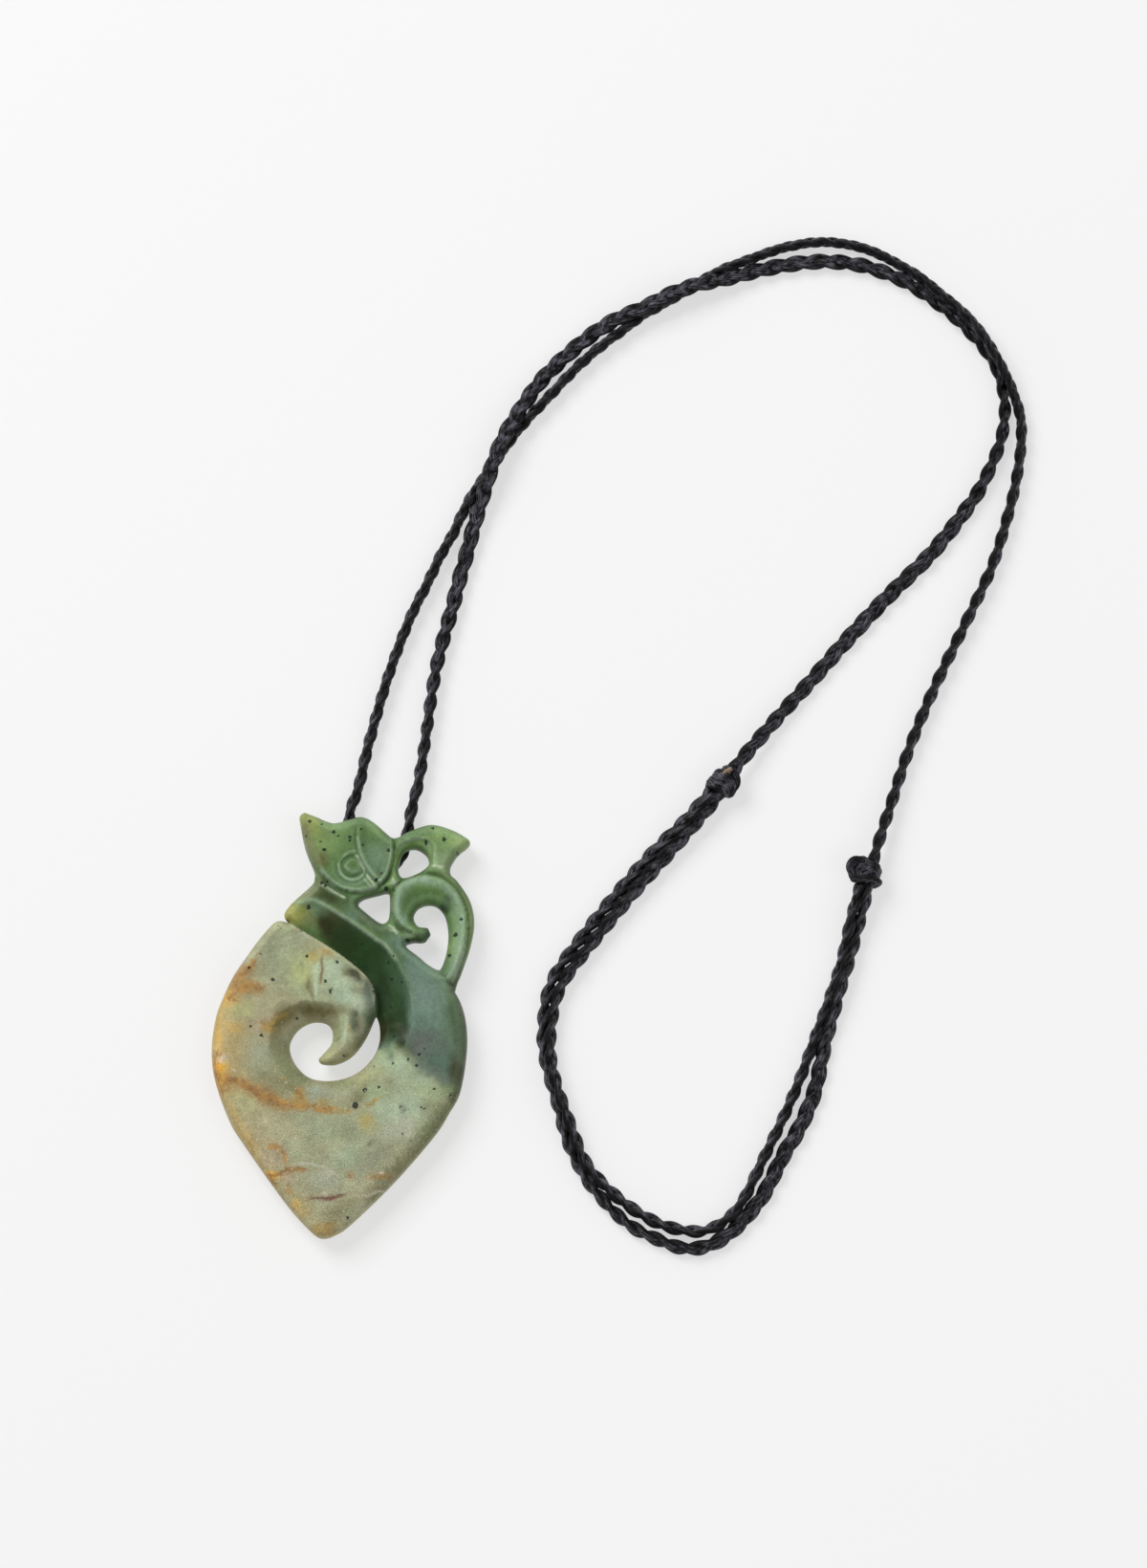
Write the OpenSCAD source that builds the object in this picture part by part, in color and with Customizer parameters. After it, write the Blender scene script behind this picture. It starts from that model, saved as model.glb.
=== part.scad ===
// Greenstone fish hook pendant on a plaited cord, lying face up on a flat surface.
// Millimetres. X is to the wearer's left, Y runs from the hook's foot to its head, Z is up.
// The origin is under the middle of the stone, on the surface that it lies on. The tables below measure Y from
// the stone's foot, and mid_y moves everything to the origin.

/* [Stone] */
// Length of the stone, from its foot to its highest tip
pendant_l = 75; // [72:0.5:80]
// Height of the shank's ridge and the koru's crest over the surface
ridge_h = 6.5; // [6:0.1:7.5]
// Height of the open plain faces over the surface
face_h = 6.1; // [5.6:0.1:7]
// Height of the thin rim that runs round every edge
rim_h = 3.2; // [3:0.1:3.6]
// How far the rounding of the hook's edge reaches in
body_round = 3; // [2:0.1:4]
// How far the rounding of the head's and the koru's edges reaches in
head_round = 1.5; // [1:0.1:2]

/* [Carving] */
// Depth of the step where the shank passes down beside the lobe
step_depth = 2.4; // [1:0.1:3]
// Depth of the funnel round the eye of the hook
funnel_depth = 1.5; // [0.5:0.1:2]
// Depth of the groove under the head's cheek
cheek_depth = 1.5; // [0.5:0.1:2]
// Depth of the groove round the koru
koru_depth = 1.5; // [0.5:0.1:2]
// Fall of the koru's face from its crest to its open centre
koru_dish = 1.1; // [0.5:0.1:1.5]
// Size of the facets across the stone
facet = 1.02; // [1:0.01:1.4]

/* [Cord] */
// Diameter of the plaited cord
cord_d = 2.2; // [1.8:0.1:2.3]
// Diameter of one turn of a knot
turn_d = 1.3; // [1.2:0.05:1.5]
// Number of turns in a knot
turns = 4; // [3:1:5]
// Diameter of the lump beside the lower knot, where its cord doubles back
lump_d = 4.6; // [4:0.1:5]
// Clearance round the cord in the knots and in the stone's channel
clearance = 0.2; // [0.15:0.05:0.3]

/* [Hidden] */
drawn_l = 75;
k = pendant_l / drawn_l;
mid_y = 37.4;
smooth = 3;
stone_green = [0.36, 0.50, 0.36];
cord_black = [0.07, 0.07, 0.08];

// The stone's outline, x and y, in four runs that meet at sharp corners
notch = [-9.4, 55.4];
waist = [19.5, 43.3];
crest_tip = [22.3, 69.2];
ear_tip = [-6.8, 75];
body_run = [notch, [-10.8, 55.8], [-12.1, 55.4], [-14.5, 52.7], [-16.8, 49.5], [-19.1, 46.2], [-21, 42.4],
    [-22.2, 38.8], [-22.8, 33.2], [-22.3, 27.7], [-19.8, 20.6], [-17.2, 16.3], [-11.4, 8.2], [-8.4, 4.3],
    [-5.7, 1.4], [-4.2, 0.2], [-3, 0], [-1.5, 0.6], [1.2, 2.7], [8.8, 10.1], [15.7, 18.3], [18.4, 22.2],
    [20, 24.9], [20.9, 28], [21.5, 31.9], [21.6, 35.4], [21.1, 38.9], [20.3, 41.6], waist];
koru_run = [waist, [19.8, 44.8], [20.5, 46.8], [22.2, 51.3], [22.8, 55.5], [22, 59.3], [20, 62.7],
    [18.8, 63.9], [18.6, 65.2], [19.4, 66.7], [20.5, 67.8], crest_tip];
crest_run = [crest_tip, [21.9, 69.9], [20.8, 70.9], [19.1, 71.8], [15.4, 72.8], [11.9, 71.8], [10, 70.8],
    [9.1, 70.5], [8.2, 70.7], [5.6, 73], [3.9, 74], [2.3, 74.1], [-1.2, 73.1], [-2.9, 73.4], [-4.5, 74.1],
    ear_tip];
head_run = [ear_tip, [-7.6, 74.3], [-7.5, 72.9], [-6.6, 68.4], [-5.1, 64.6], [-5, 63.4], [-5.4, 62.2],
    [-8, 59.8], [-9.4, 58.4], [-10.2, 57.2], [-10.1, 56.2], notch];

// The openings cut right through the stone
slot_top = [5.8, 39.1];
eye_right = [slot_top, [6.4, 37.1], [6.3, 34.3], [5.1, 31.6], [2.7, 29.2], [-0.4, 27.9], [-3.8, 27.7],
    [-6.4, 28.6], [-8.5, 31], [-9.2, 33.8], [-7.8, 36.5], [-5.3, 37.9], [-2.9, 37.7], [-1.8, 36.3],
    [-2, 34.2], [-3.5, 32.3], [-4.2, 31.4], [-3.5, 30.6], [-1, 30.6], [1.8, 32.1], [4.1, 35.2], slot_top];
window_ring = [[2.7, 58.6], [3.5, 59.6], [6.3, 60.4], [7.6, 60.7], [8.1, 60.1], [8, 56.6], [7.2, 55.4],
    [6, 55.7], [3.5, 57.7]];
crest_ring = [[9.9, 66.2], [10.7, 67.8], [12.5, 68.5], [14.3, 67.5], [14.9, 65.9], [13.6, 64.6],
    [11.4, 63.6], [10.2, 63.5], [9.6, 64.7]];
curl_ring = [[11, 51.3], [12.1, 52.1], [14.4, 52.3], [15.3, 53.5], [14.6, 54.7], [13.2, 54.7],
    [12.3, 56.2], [13, 57.9], [14.6, 58.6], [16.3, 58.3], [17.7, 56.6], [18.3, 53.6], [18, 50.3],
    [17.1, 47.6], [16.3, 47.3], [14.6, 48.3], [13.2, 49.5]];

// Carved lines on the face
lobe_line = [notch, [-6.3, 53.4], [-2.7, 51.2], [1.1, 48.5], [4.5, 45.4], [5.6, 42.7], slot_top];
slot_edge = [slot_top, [6.4, 37.1], [6.3, 34.3], [5.1, 31.6]];
ridge_line = [[-7.7, 58.6], [-5.2, 59], [-2.1, 57.6], [2, 55], [7.7, 50.7], [10.3, 46.1], [11.9, 41.5],
    [12, 38.4], [10.8, 32.9]];
shank_corner = [[-9.4, 58.4], [-10.2, 57.2]];
funnel_line = [[-3.1, 41.2], [-6.3, 41.4], [-8.4, 40.9], [-11.1, 38.8], [-12.6, 35], [-12.8, 29.6],
    [-11.1, 26.4]];
cheek_line = [[-6.8, 70], [-5.4, 66.8], [-3.8, 64], [-1.2, 61.9], [1.6, 60.7], [4.3, 61.1], [6.8, 62.7],
    [8.2, 64.2], [8.7, 67.1], [9, 69.1]];
koru_line = [[11.2, 53.7], [9, 55.7], [8.3, 58], [9.6, 61], [12, 63], [15.4, 63.2], [18.8, 61.6],
    [21, 58.4], [21.5, 54], [20.7, 49], [19.1, 44.6]];
koru_inner = [[17.6, 45.5], [14.2, 48.5], [12.5, 53.5]];
head_corners = [[9, 80], [-9, 80]];

// Reach of each carved groove or edge from its line, and its depth where no value above sets it
cheek_in = 0.3;
cheek_out = 2.3;
koru_reach = 1.9;
lip_reach = 0.9;
lip_drop = 0.9;
dish_share = 1.2;
crest_over = 0.1;
swell = 0.35;
swell_reach = 2.5;
lobe_drop = 0.5;
lobe_reach = 1;
domed = 0.4;
dome_from = 44;
dome_over = 8;
slope_power = 0.8;
slope_fade = [31.5, 7];
funnel_end = [-3, 33];
funnel_low = 26;
round_change = [50, 12];
back_share = 0.7;
least_round = 0.12;
least_depth = 0.05;
tiny = 0.01;

// Extent of the net of facets, whose rows are closer in the carved upper half
left_x = -23.4;
right_x = 23.4;
low_y = -0.7;
carved_y = 44;
high_y = 75.7;
low_row = 1.25 * facet;
high_row = 0.84 * facet;
rim_share = 0.1;

// The cord's bight behind the head: a half turn between the two places where the legs come out
bight = [5.9, 69.9];
bight_r = 4.85;
cord_r = cord_d / 2;
lie = cord_r;
bight_end = 0.1;
channel_r = 2.4;
channel_out = [0, 9];
channel_h = cord_d + 2 * clearance;
channel_under = 0.12;

// Knots: their middles, and the height at which the cord passes through them
bore_r = cord_r + clearance;
knot_r = bore_r + turn_d;
knot_h = knot_r;
upper_at = [66.3, 81];
upper_turn = 49;
lower_at = [91.8, 65];
lower_turn = 75;
turn_pitch = 0.94 * turn_d;
knot_half = ((turns - 1) * turn_pitch + turn_d) / 2;
end_gap = 0.15;
beside = cord_d + 0.2;
run_in = 7;
lead = 1;
lump_along = 0.4;
lump_beside = 2.1;
lump_lift = 0.1;

// The cord's route: x, y and the height of its middle over the height at which it lies
left_route = [[1.2, 75.4, 0], [9.2, 104.4, 0], [16.4, 119.8, 0], [22, 132.2, 0], [25, 136.2, 0],
    [29.6, 141.7, 0], [34.1, 147.1, 0], [39, 153.3, 0], [46.8, 159.8, 0], [54.2, 164.9, 0], [61.6, 169.8, 0],
    [69.5, 173.3, 0], [82, 176.7, 0], [94, 174.3, 0], [102.9, 169.1, 0], [108.8, 164.6, 0],
    [114.3, 157.6, 0], [117.7, 149.8, 0], [118.4, 141, 0], [115.6, 126.5, 0], [108.5, 109.3, 0],
    [101.2, 93.5, 0], [95.4, 77.5, 0.4]];
left_return = [[89.4, 54, 0.3], [85.6, 37, 0], [80.5, 21.6, 0], [71.5, 4.8, 0], [61.5, -1.3, 0],
    [51.3, 1.4, 0], [41.8, 12.4, 0], [34.1, 33, 0], [36.2, 47.4, 0]];
right_route = [[11.9, 76.3, 0], [14.6, 92.2, 0], [20.6, 118.6, 0], [23.4, 128.7, 0.3], [24.7, 132.8, 1.4],
    [26.1, 136.6, 2.3], [28.5, 142.4, 2.3], [30.2, 146.1, 1.5], [34.1, 152, 0.5], [45, 161.2, 1.5],
    [51.4, 164.2, 2.4], [58, 166.8, 2.4], [65.4, 169.2, 1.6], [72.6, 171.6, 0.1], [84.5, 173.4, 0],
    [94.9, 170.8, 0], [101, 167.3, 0], [107, 162.1, 0], [111.8, 156.3, 0], [115, 149.8, 0],
    [112.7, 136.2, 0], [103.3, 122.8, 0], [88, 106.8, 0], [74.8, 91.4, 0.4]];
right_return = [[56.5, 69.2, 0.3], [38.6, 46.6, 0], [36.6, 33.1, 0], [44.9, 12.5, 0], [54.4, 3.2, 0],
    [61, 1.5, 0], [68, 5.6, 0], [81.2, 31.6, 0], [84.9, 46.4, 0]];

// Points on a smooth curve through hand-placed ones, open or closed
function between(a, b, c, d, t) =
    0.5 * (2 * b + (c - a) * t + (2 * a - 5 * b + 4 * c - d) * t * t + (3 * b - a - 3 * c + d) * t * t * t);
function open_curve(pts, last = true) = let (m = len(pts) - 1) concat(
    [for (i = [0:m - 1], s = [0:smooth - 1])
        between(pts[max(i - 1, 0)], pts[i], pts[i + 1], pts[min(i + 2, m)], s / smooth) * k],
    last ? [pts[m] * k] : []);
function closed_curve(pts) = let (m = len(pts))
    [for (i = [0:m - 1], s = [0:smooth - 1])
        between(pts[(i + m - 1) % m], pts[i], pts[(i + 1) % m], pts[(i + 2) % m], s / smooth) * k];

outline = concat(open_curve(body_run, false), open_curve(koru_run, false),
    open_curve(crest_run, false), open_curve(head_run, false));
eye_hole = open_curve(eye_right, false);
curl_hole = closed_curve(curl_ring);
edges = [outline, eye_hole, closed_curve(window_ring), closed_curve(crest_ring), curl_hole];
lobe_curve = open_curve(lobe_line);
inner_curve = concat(lobe_curve, open_curve(slot_edge));
ridge_curve = open_curve(ridge_line);
funnel_curve = open_curve(funnel_line);
cheek_curve = open_curve(cheek_line);
koru_curve = open_curve(koru_line);
slope_zone = concat(inner_curve, [for (i = [len(ridge_curve) - 1:-1:0]) ridge_curve[i]], shank_corner * k);
funnel_zone = concat(funnel_curve, [funnel_end * k]);
koru_zone = concat(koru_curve, [for (p = koru_inner) p * k]);
cheek_zone = concat(cheek_curve, [for (p = head_corners) p * k]);

// Distances, and which side of a line a point is on
function span(p, a, b) = let (ab = b - a, t = max(0, min(1, (p - a) * ab / (ab * ab)))) norm(p - a - t * ab);
function line_gap(p, pts) = min([for (i = [0:len(pts) - 2]) span(p, pts[i], pts[i + 1])]);
function loop_gap(p, pts) = min(line_gap(p, pts), span(p, pts[len(pts) - 1], pts[0]));
function crosses(p, a, b) =
    (a.y > p.y) != (b.y > p.y) && p.x < (b.x - a.x) * (p.y - a.y) / (b.y - a.y) + a.x;
function inside(p, pts) = let (m = len(pts))
    len([for (i = [0:m - 1]) if (crosses(p, pts[i], pts[(i + 1) % m])) 1]) % 2 == 1;
function in_stone(p) =
    inside(p, outline) && len([for (i = [1:len(edges) - 1]) if (inside(p, edges[i])) 1]) == 0;
function depth_in(p) = (in_stone(p) ? 1 : -1) * max(least_depth, min([for (e = edges) loop_gap(p, e)]));
function ease(t) = let (u = max(0, min(1, t))) u * u * (3 - 2 * u);
function quarter_round(t) = sqrt(1 - pow(1 - max(0, min(1, t)), 2));
function cut(gap, reach) = pow(max(0, 1 - gap / reach), 2);

// Height of the carved face before its edges are rounded
function slope_h(p) = let (low = line_gap(p, inner_curve), high = line_gap(p, ridge_curve),
        fade = ease((p.y / k - slope_fade[0]) / slope_fade[1]))
    ridge_h - step_depth * fade * pow(1 - low / (low + high + tiny), slope_power);
function koru_h(p) = let (out = line_gap(p, koru_curve), open = loop_gap(p, curl_hole))
    ridge_h + crest_over - koru_dish * dish_share * (1 - open / (open + out + tiny))
        - lip_drop * cut(out, lip_reach);
function plain_h(p) = let (
        cheek = inside(p, cheek_zone) ? cheek_in : cheek_out,
        funnel = inside(p, funnel_zone) && p.y / k > funnel_low ? funnel_depth : 0,
        open = loop_gap(p, eye_hole), rise = line_gap(p, funnel_curve))
    face_h + domed * ease((dome_from - p.y / k) / dome_over)
        - cheek_depth * cut(line_gap(p, cheek_curve), cheek)
        - koru_depth * cut(line_gap(p, koru_curve), koru_reach)
        + swell * cut(line_gap(p, ridge_curve), swell_reach)
        - funnel * rise / (open + rise + tiny)
        - lobe_drop * cut(line_gap(p, lobe_curve), lobe_reach);
function face(p) = inside(p, slope_zone) ? slope_h(p) : inside(p, koru_zone) ? koru_h(p) : plain_h(p);

// Height of the face and of the back, with their edges rounded down to the rim
function round_at(p) =
    head_round + (body_round - head_round) * ease((round_change[0] - p.y / k) / round_change[1]);
function rounded(d, reach) = max(least_round, quarter_round(d / reach));
function front_h(p, d) = rim_h + (face(p) - rim_h) * rounded(d, round_at(p));
function channel_gap(p) = let (q = p / k, c = q - bight,
        left = bight - [bight_r, 0], right = bight + [bight_r, 0])
    min(concat(c.y < 0 ? [abs(norm(c) - bight_r)] : [],
        [for (from = [left, right]) span(q, from, from + channel_out)])) * k;
function back_h(p, d) = let (plain = rim_h * (1 - rounded(d, back_share * round_at(p))))
    channel_gap(p) < channel_r ? max(plain, min(channel_h, rim_h - channel_under)) : plain;

// The stone's surface: a net of facets, front and back, that meet in the rim along every edge
module pendant() {
    columns = ceil((right_x - left_x) / facet);
    low_rows = ceil((carved_y - low_y) / low_row);
    high_rows = ceil((high_y - carved_y) / high_row);
    wide = columns + 1;
    rows = low_rows + high_rows;
    xs = [for (i = [0:columns]) (left_x + (right_x - left_x) * i / columns) * k];
    ys = concat([for (j = [0:low_rows - 1]) (low_y + (carved_y - low_y) * j / low_rows) * k],
        [for (j = [0:high_rows]) (carved_y + (high_y - carved_y) * j / high_rows) * k]);
    net = [for (y = ys, x = xs) [x, y]];
    deep = [for (p = net) depth_in(p)];
    many = len(net);
    back = many;
    across = 2 * many;
    up = 3 * many;
    front_pts = [for (i = [0:many - 1]) [net[i].x, net[i].y, deep[i] > 0 ? front_h(net[i], deep[i]) : rim_h]];
    back_pts = [for (i = [0:many - 1]) [net[i].x, net[i].y, deep[i] > 0 ? back_h(net[i], deep[i]) : rim_h]];
    rim = function (a, b) let (t = max(rim_share, min(1 - rim_share, deep[a] / (deep[a] - deep[b]))),
            p = net[a] + (net[b] - net[a]) * t)
        [p.x, p.y, rim_h];
    across_pts = [for (i = [0:many - 1]) let (j = i % wide == wide - 1 ? i - 1 : i + 1)
        deep[i] * deep[j] < 0 ? rim(i, j) : [net[i].x, net[i].y, rim_h]];
    up_pts = [for (i = [0:many - 1]) let (j = i + wide >= many ? i - wide : i + wide)
        deep[i] * deep[j] < 0 ? rim(i, j) : [net[i].x, net[i].y, rim_h]];
    cells = [for (j = [0:rows - 1], i = [0:columns - 1]) let (a = j * wide + i,
            corner = [a, a + 1, a + wide + 1, a + wide],
            side = [across + a, up + a + 1, across + a + wide, up + a],
            first = [for (c = [0:3]) if (deep[corner[c]] > 0) c])
        if (len(first) > 0) let (level = abs(front_pts[a].z - front_pts[a + wide + 1].z)
                    <= abs(front_pts[a + 1].z - front_pts[a + wide].z),
                start = len(first) == 4 && !level ? 1 : first[0])
            [for (n = [0:3]) let (c = (start + n) % 4, next = (c + 1) % 4,
                    here = deep[corner[c]] > 0, there = deep[corner[next]] > 0)
                each concat(here ? [corner[c]] : [], here != there ? [side[c]] : [])]];
    front_faces = [for (c = cells, n = [1:len(c) - 2]) [c[0], c[n + 1], c[n]]];
    back_faces = [for (f = front_faces) [for (v = [f[0], f[2], f[1]]) v < many ? v + back : v]];
    color(stone_green)
        polyhedron(points = concat(front_pts, back_pts, across_pts, up_pts),
            faces = concat(front_faces, back_faces));
}

// A cord is a tube with eight sides, swept along its route
function half_bight(way) = concat([for (x = [bight_end, 1]) [bight.x + way * x, bight.y - bight_r, 0]],
    [for (a = [45, 90]) [bight.x + way * bight_r * sin(a), bight.y - bight_r * cos(a), 0]]);
function heights(pts) = [for (p = pts) [p.x * k, p.y * k, p.z + lie]];
function unit(v) = v / norm(v);
function heading(pts, i) = unit(pts[min(i + 1, len(pts) - 1)] - pts[max(i - 1, 0)]);
module tube(pts, sides = 8) {
    rings = [for (i = [0:len(pts) - 1])
        let (t = heading(pts, i), side = unit(cross(t, [0, 0, 1])), top = cross(side, t))
            each [for (n = [0:sides - 1]) let (a = 360 * (n + 0.5) / sides)
                pts[i] + cord_r * (cos(a) * side + sin(a) * top)]];
    last = len(pts) - 1;
    walls = [for (i = [0:last - 1], n = [0:sides - 1]) let (a = i * sides + n, b = i * sides + (n + 1) % sides)
        each [[a, b, b + sides], [a, b + sides, a + sides]]];
    start_cap = [for (n = [1:sides - 2]) [0, n + 1, n]];
    end_cap = [for (n = [1:sides - 2]) [last * sides, last * sides + n, last * sides + n + 1]];
    color(cord_black)
        polyhedron(points = rings, faces = concat(walls, start_cap, end_cap));
}

// Places on and beside a knot, measured along the cord that runs through it
function along(at, turn, far, side = 0) =
    [at.x + (far * cos(turn) - side * sin(turn)) / k, at.y + (far * sin(turn) + side * cos(turn)) / k,
        knot_h - lie];
function through(at, turn) = [for (far = [1, -1]) along(at, turn, far * (knot_half + lead))];
function tied_end(at, turn) = [for (back = [run_in, end_gap]) along(at, turn, -knot_half - back, beside)];

module left_cord() {
    tube(heights(concat(half_bight(-1), left_route, through(lower_at, lower_turn),
        left_return, tied_end(upper_at, upper_turn))));
}

module right_cord() {
    tube(heights(concat(half_bight(1), right_route, through(upper_at, upper_turn),
        right_return, tied_end(lower_at, lower_turn))));
}

// A sliding knot: turns wound side by side round the cord that runs through them
module wound_turns() {
    rotate_extrude($fn = 32)
        for (n = [0:turns - 1])
            translate([bore_r + turn_d / 2, (n - (turns - 1) / 2) * turn_pitch])
                circle(d = turn_d, $fn = 24);
}

module placed_knot(at, turn) {
    translate([at.x * k, at.y * k, knot_h])
        rotate([0, 90, turn])
            wound_turns();
}

module upper_knot() {
    color(cord_black)
        placed_knot(upper_at, upper_turn);
}

module lower_knot() {
    lump_at = heights([along(lower_at, lower_turn, lump_along, lump_beside)])[0];
    color(cord_black)
        difference() {
            union() {
                placed_knot(lower_at, lower_turn);
                translate([lump_at.x, lump_at.y, lump_d / 2 + lump_lift])
                    sphere(d = lump_d, $fn = 32);
            }
            translate([lower_at.x * k, lower_at.y * k, knot_h])
                rotate([0, 90, lower_turn])
                    cylinder(r = bore_r, h = 4 * knot_half, center = true, $fn = 32);
        }
}

module centred() {
    translate([0, -mid_y * k, 0])
        children();
}

centred() pendant();
centred() left_cord();
centred() right_cord();
centred() upper_knot();
centred() lower_knot();
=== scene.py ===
import math
import bpy
import numpy as np
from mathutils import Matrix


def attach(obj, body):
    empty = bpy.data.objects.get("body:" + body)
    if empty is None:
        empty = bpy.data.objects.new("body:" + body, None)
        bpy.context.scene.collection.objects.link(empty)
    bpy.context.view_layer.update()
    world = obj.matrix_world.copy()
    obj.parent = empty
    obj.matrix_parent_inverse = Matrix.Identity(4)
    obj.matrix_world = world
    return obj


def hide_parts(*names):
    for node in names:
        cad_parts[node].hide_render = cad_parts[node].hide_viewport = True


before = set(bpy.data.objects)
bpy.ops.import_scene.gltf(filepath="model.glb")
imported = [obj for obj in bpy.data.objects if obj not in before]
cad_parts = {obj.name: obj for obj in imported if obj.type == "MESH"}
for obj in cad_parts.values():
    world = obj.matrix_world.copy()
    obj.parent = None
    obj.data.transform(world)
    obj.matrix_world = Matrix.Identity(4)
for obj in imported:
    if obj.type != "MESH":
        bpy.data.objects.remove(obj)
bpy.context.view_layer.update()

mm = 0.001
midY = 37.4  # the tables measure Y from the stone's foot, as the part's source does
cordMidY = 37.65


def say(words):
    print("greenstone hook:", words)


def deselectAll():
    if bpy.context.mode != "OBJECT":
        bpy.ops.object.mode_set(mode="OBJECT")
    bpy.ops.object.select_all(action="DESELECT")


def makeActive(piece):
    deselectAll()
    piece.select_set(True)
    bpy.context.view_layer.objects.active = piece


def applyPlace(piece):
    makeActive(piece)
    bpy.ops.object.transform_apply(location=True, rotation=True, scale=True)


def editAll(piece, edit):
    makeActive(piece)
    bpy.ops.object.mode_set(mode="EDIT")
    bpy.ops.mesh.select_all(action="SELECT")
    edit()
    bpy.ops.object.mode_set(mode="OBJECT")


def setInputs(node, values):
    for name, value in values.items():
        node.inputs[name].default_value = value


# Camera, lights and floor

view = {"aim": (40.1, 42.7, 3.2), "elevation": 80, "distance": 3000, "frameHeight": 273.3}
tilt = math.radians(view["elevation"])
bpy.ops.object.camera_add(
    location=[
        view["aim"][0] * mm,
        (view["aim"][1] - view["distance"] * math.cos(tilt)) * mm,
        (view["aim"][2] + view["distance"] * math.sin(tilt)) * mm,
    ],
    rotation=(math.pi / 2 - tilt, 0, 0),
)
camera = bpy.context.object
camera.name = "photoCamera"
camera.data.sensor_fit = "VERTICAL"
camera.data.lens = camera.data.sensor_height * view["distance"] / view["frameHeight"]
camera.data.clip_start = 0.01
bpy.context.scene.camera = camera

light = {
    "keyPlace": (-0.62, 0.74, 1.05),
    "keySize": 0.75,
    "keyPower": 15,
    "fillPlace": (0.9, -0.5, 1.2),
    "fillSize": 1.2,
    "fillPower": 5,
    "sky": 0.59,
    "roof": 0.21,
    "skyBand": (0.35, 0.95),
}
floorLook = {"size": 4, "drop": 0.00015, "grey": 0.33, "glow": 0.58, "roughness": 0.9, "specular": 0.1}


def areaLight(name, place, size, power):
    bpy.ops.object.light_add(type="AREA", location=place)
    lamp = bpy.context.object
    lamp.name = name
    lamp.data.size = size
    lamp.data.energy = power
    away = -lamp.location.normalized()
    lamp.rotation_euler = away.to_track_quat("-Z", "Y").to_euler()
    return lamp


areaLight("keyLight", light["keyPlace"], light["keySize"], light["keyPower"])
areaLight("fillLight", light["fillPlace"], light["fillSize"], light["fillPower"])
world = bpy.data.worlds.new("softRoom")
bpy.context.scene.world = world
world.use_nodes = True
roof = world.node_tree
where = roof.nodes.new("ShaderNodeTexCoord")
split = roof.nodes.new("ShaderNodeSeparateXYZ")
shade = roof.nodes.new("ShaderNodeMapRange")  # the room is darker straight overhead than at its sides
setInputs(shade, {"From Min": light["skyBand"][0], "From Max": light["skyBand"][1],
                  "To Min": light["sky"], "To Max": light["roof"]})
roof.links.new(where.outputs["Generated"], split.inputs[0])
roof.links.new(split.outputs["Z"], shade.inputs["Value"])
roof.links.new(shade.outputs["Result"], roof.nodes["Background"].inputs["Strength"])
setInputs(roof.nodes["Background"], {"Color": (1, 1, 1, 1)})
bpy.context.scene.view_settings.view_transform = "Standard"


def newMaterial(name):
    material = bpy.data.materials.new(name)
    material.use_nodes = True
    return material, material.node_tree, material.node_tree.nodes["Principled BSDF"]


def readValue(tree, name):
    node = tree.nodes.new("ShaderNodeAttribute")
    node.attribute_name = name
    return node


def noiseOn(tree, vector, scale, detail=3.0, roughness=0.55):
    node = tree.nodes.new("ShaderNodeTexNoise")
    setInputs(node, {"Scale": scale, "Detail": detail, "Roughness": roughness})
    tree.links.new(vector, node.inputs["Vector"])
    return node.outputs["Fac"]


def spread(tree, value, low, high, toLow=0.0, toHigh=1.0, smooth=True):
    node = tree.nodes.new("ShaderNodeMapRange")
    node.interpolation_type = "SMOOTHSTEP" if smooth else "LINEAR"
    setInputs(node, {"From Min": low, "From Max": high, "To Min": toLow, "To Max": toHigh})
    tree.links.new(value, node.inputs["Value"])
    return node.outputs["Result"]


def combine(tree, how, a, b):
    node = tree.nodes.new("ShaderNodeMath")
    node.operation = how
    for socket, value in zip(node.inputs, (a, b)):
        if isinstance(value, (int, float)):
            socket.default_value = value
        else:
            tree.links.new(value, socket)
    return node.outputs[0]


def mixColour(tree, share, a, b, how="MIX"):
    node = tree.nodes.new("ShaderNodeMix")
    node.data_type = "RGBA"
    node.blend_type = how
    for socket, value in ((node.inputs[0], share), (node.inputs[6], a), (node.inputs[7], b)):
        if isinstance(value, bpy.types.NodeSocket):
            tree.links.new(value, socket)
        elif isinstance(value, (int, float)):
            socket.default_value = value
        else:
            socket.default_value = (*value, 1)
    return node.outputs[2]


def bumpOn(tree, shader, height, strength, distance):
    node = tree.nodes.new("ShaderNodeBump")
    setInputs(node, {"Strength": strength, "Distance": distance})
    tree.links.new(height, node.inputs["Height"])
    tree.links.new(node.outputs["Normal"], shader.inputs["Normal"])


bpy.ops.mesh.primitive_plane_add(size=floorLook["size"], location=(0, 0, -floorLook["drop"]))
floor = bpy.context.object
floor.name = "paleFloor"
applyPlace(floor)
paper, tree, shader = newMaterial("paleFloorPaper")
setInputs(shader, {
    "Base Color": (floorLook["grey"],) * 3 + (1,),
    "Emission Color": (1, 1, 1, 1),
    "Emission Strength": floorLook["glow"],
    "Roughness": floorLook["roughness"],
    "Specular IOR Level": floorLook["specular"],
})
floor.data.materials.append(paper)
say("camera, light and floor stand")


# Smooth lines through listed points


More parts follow.
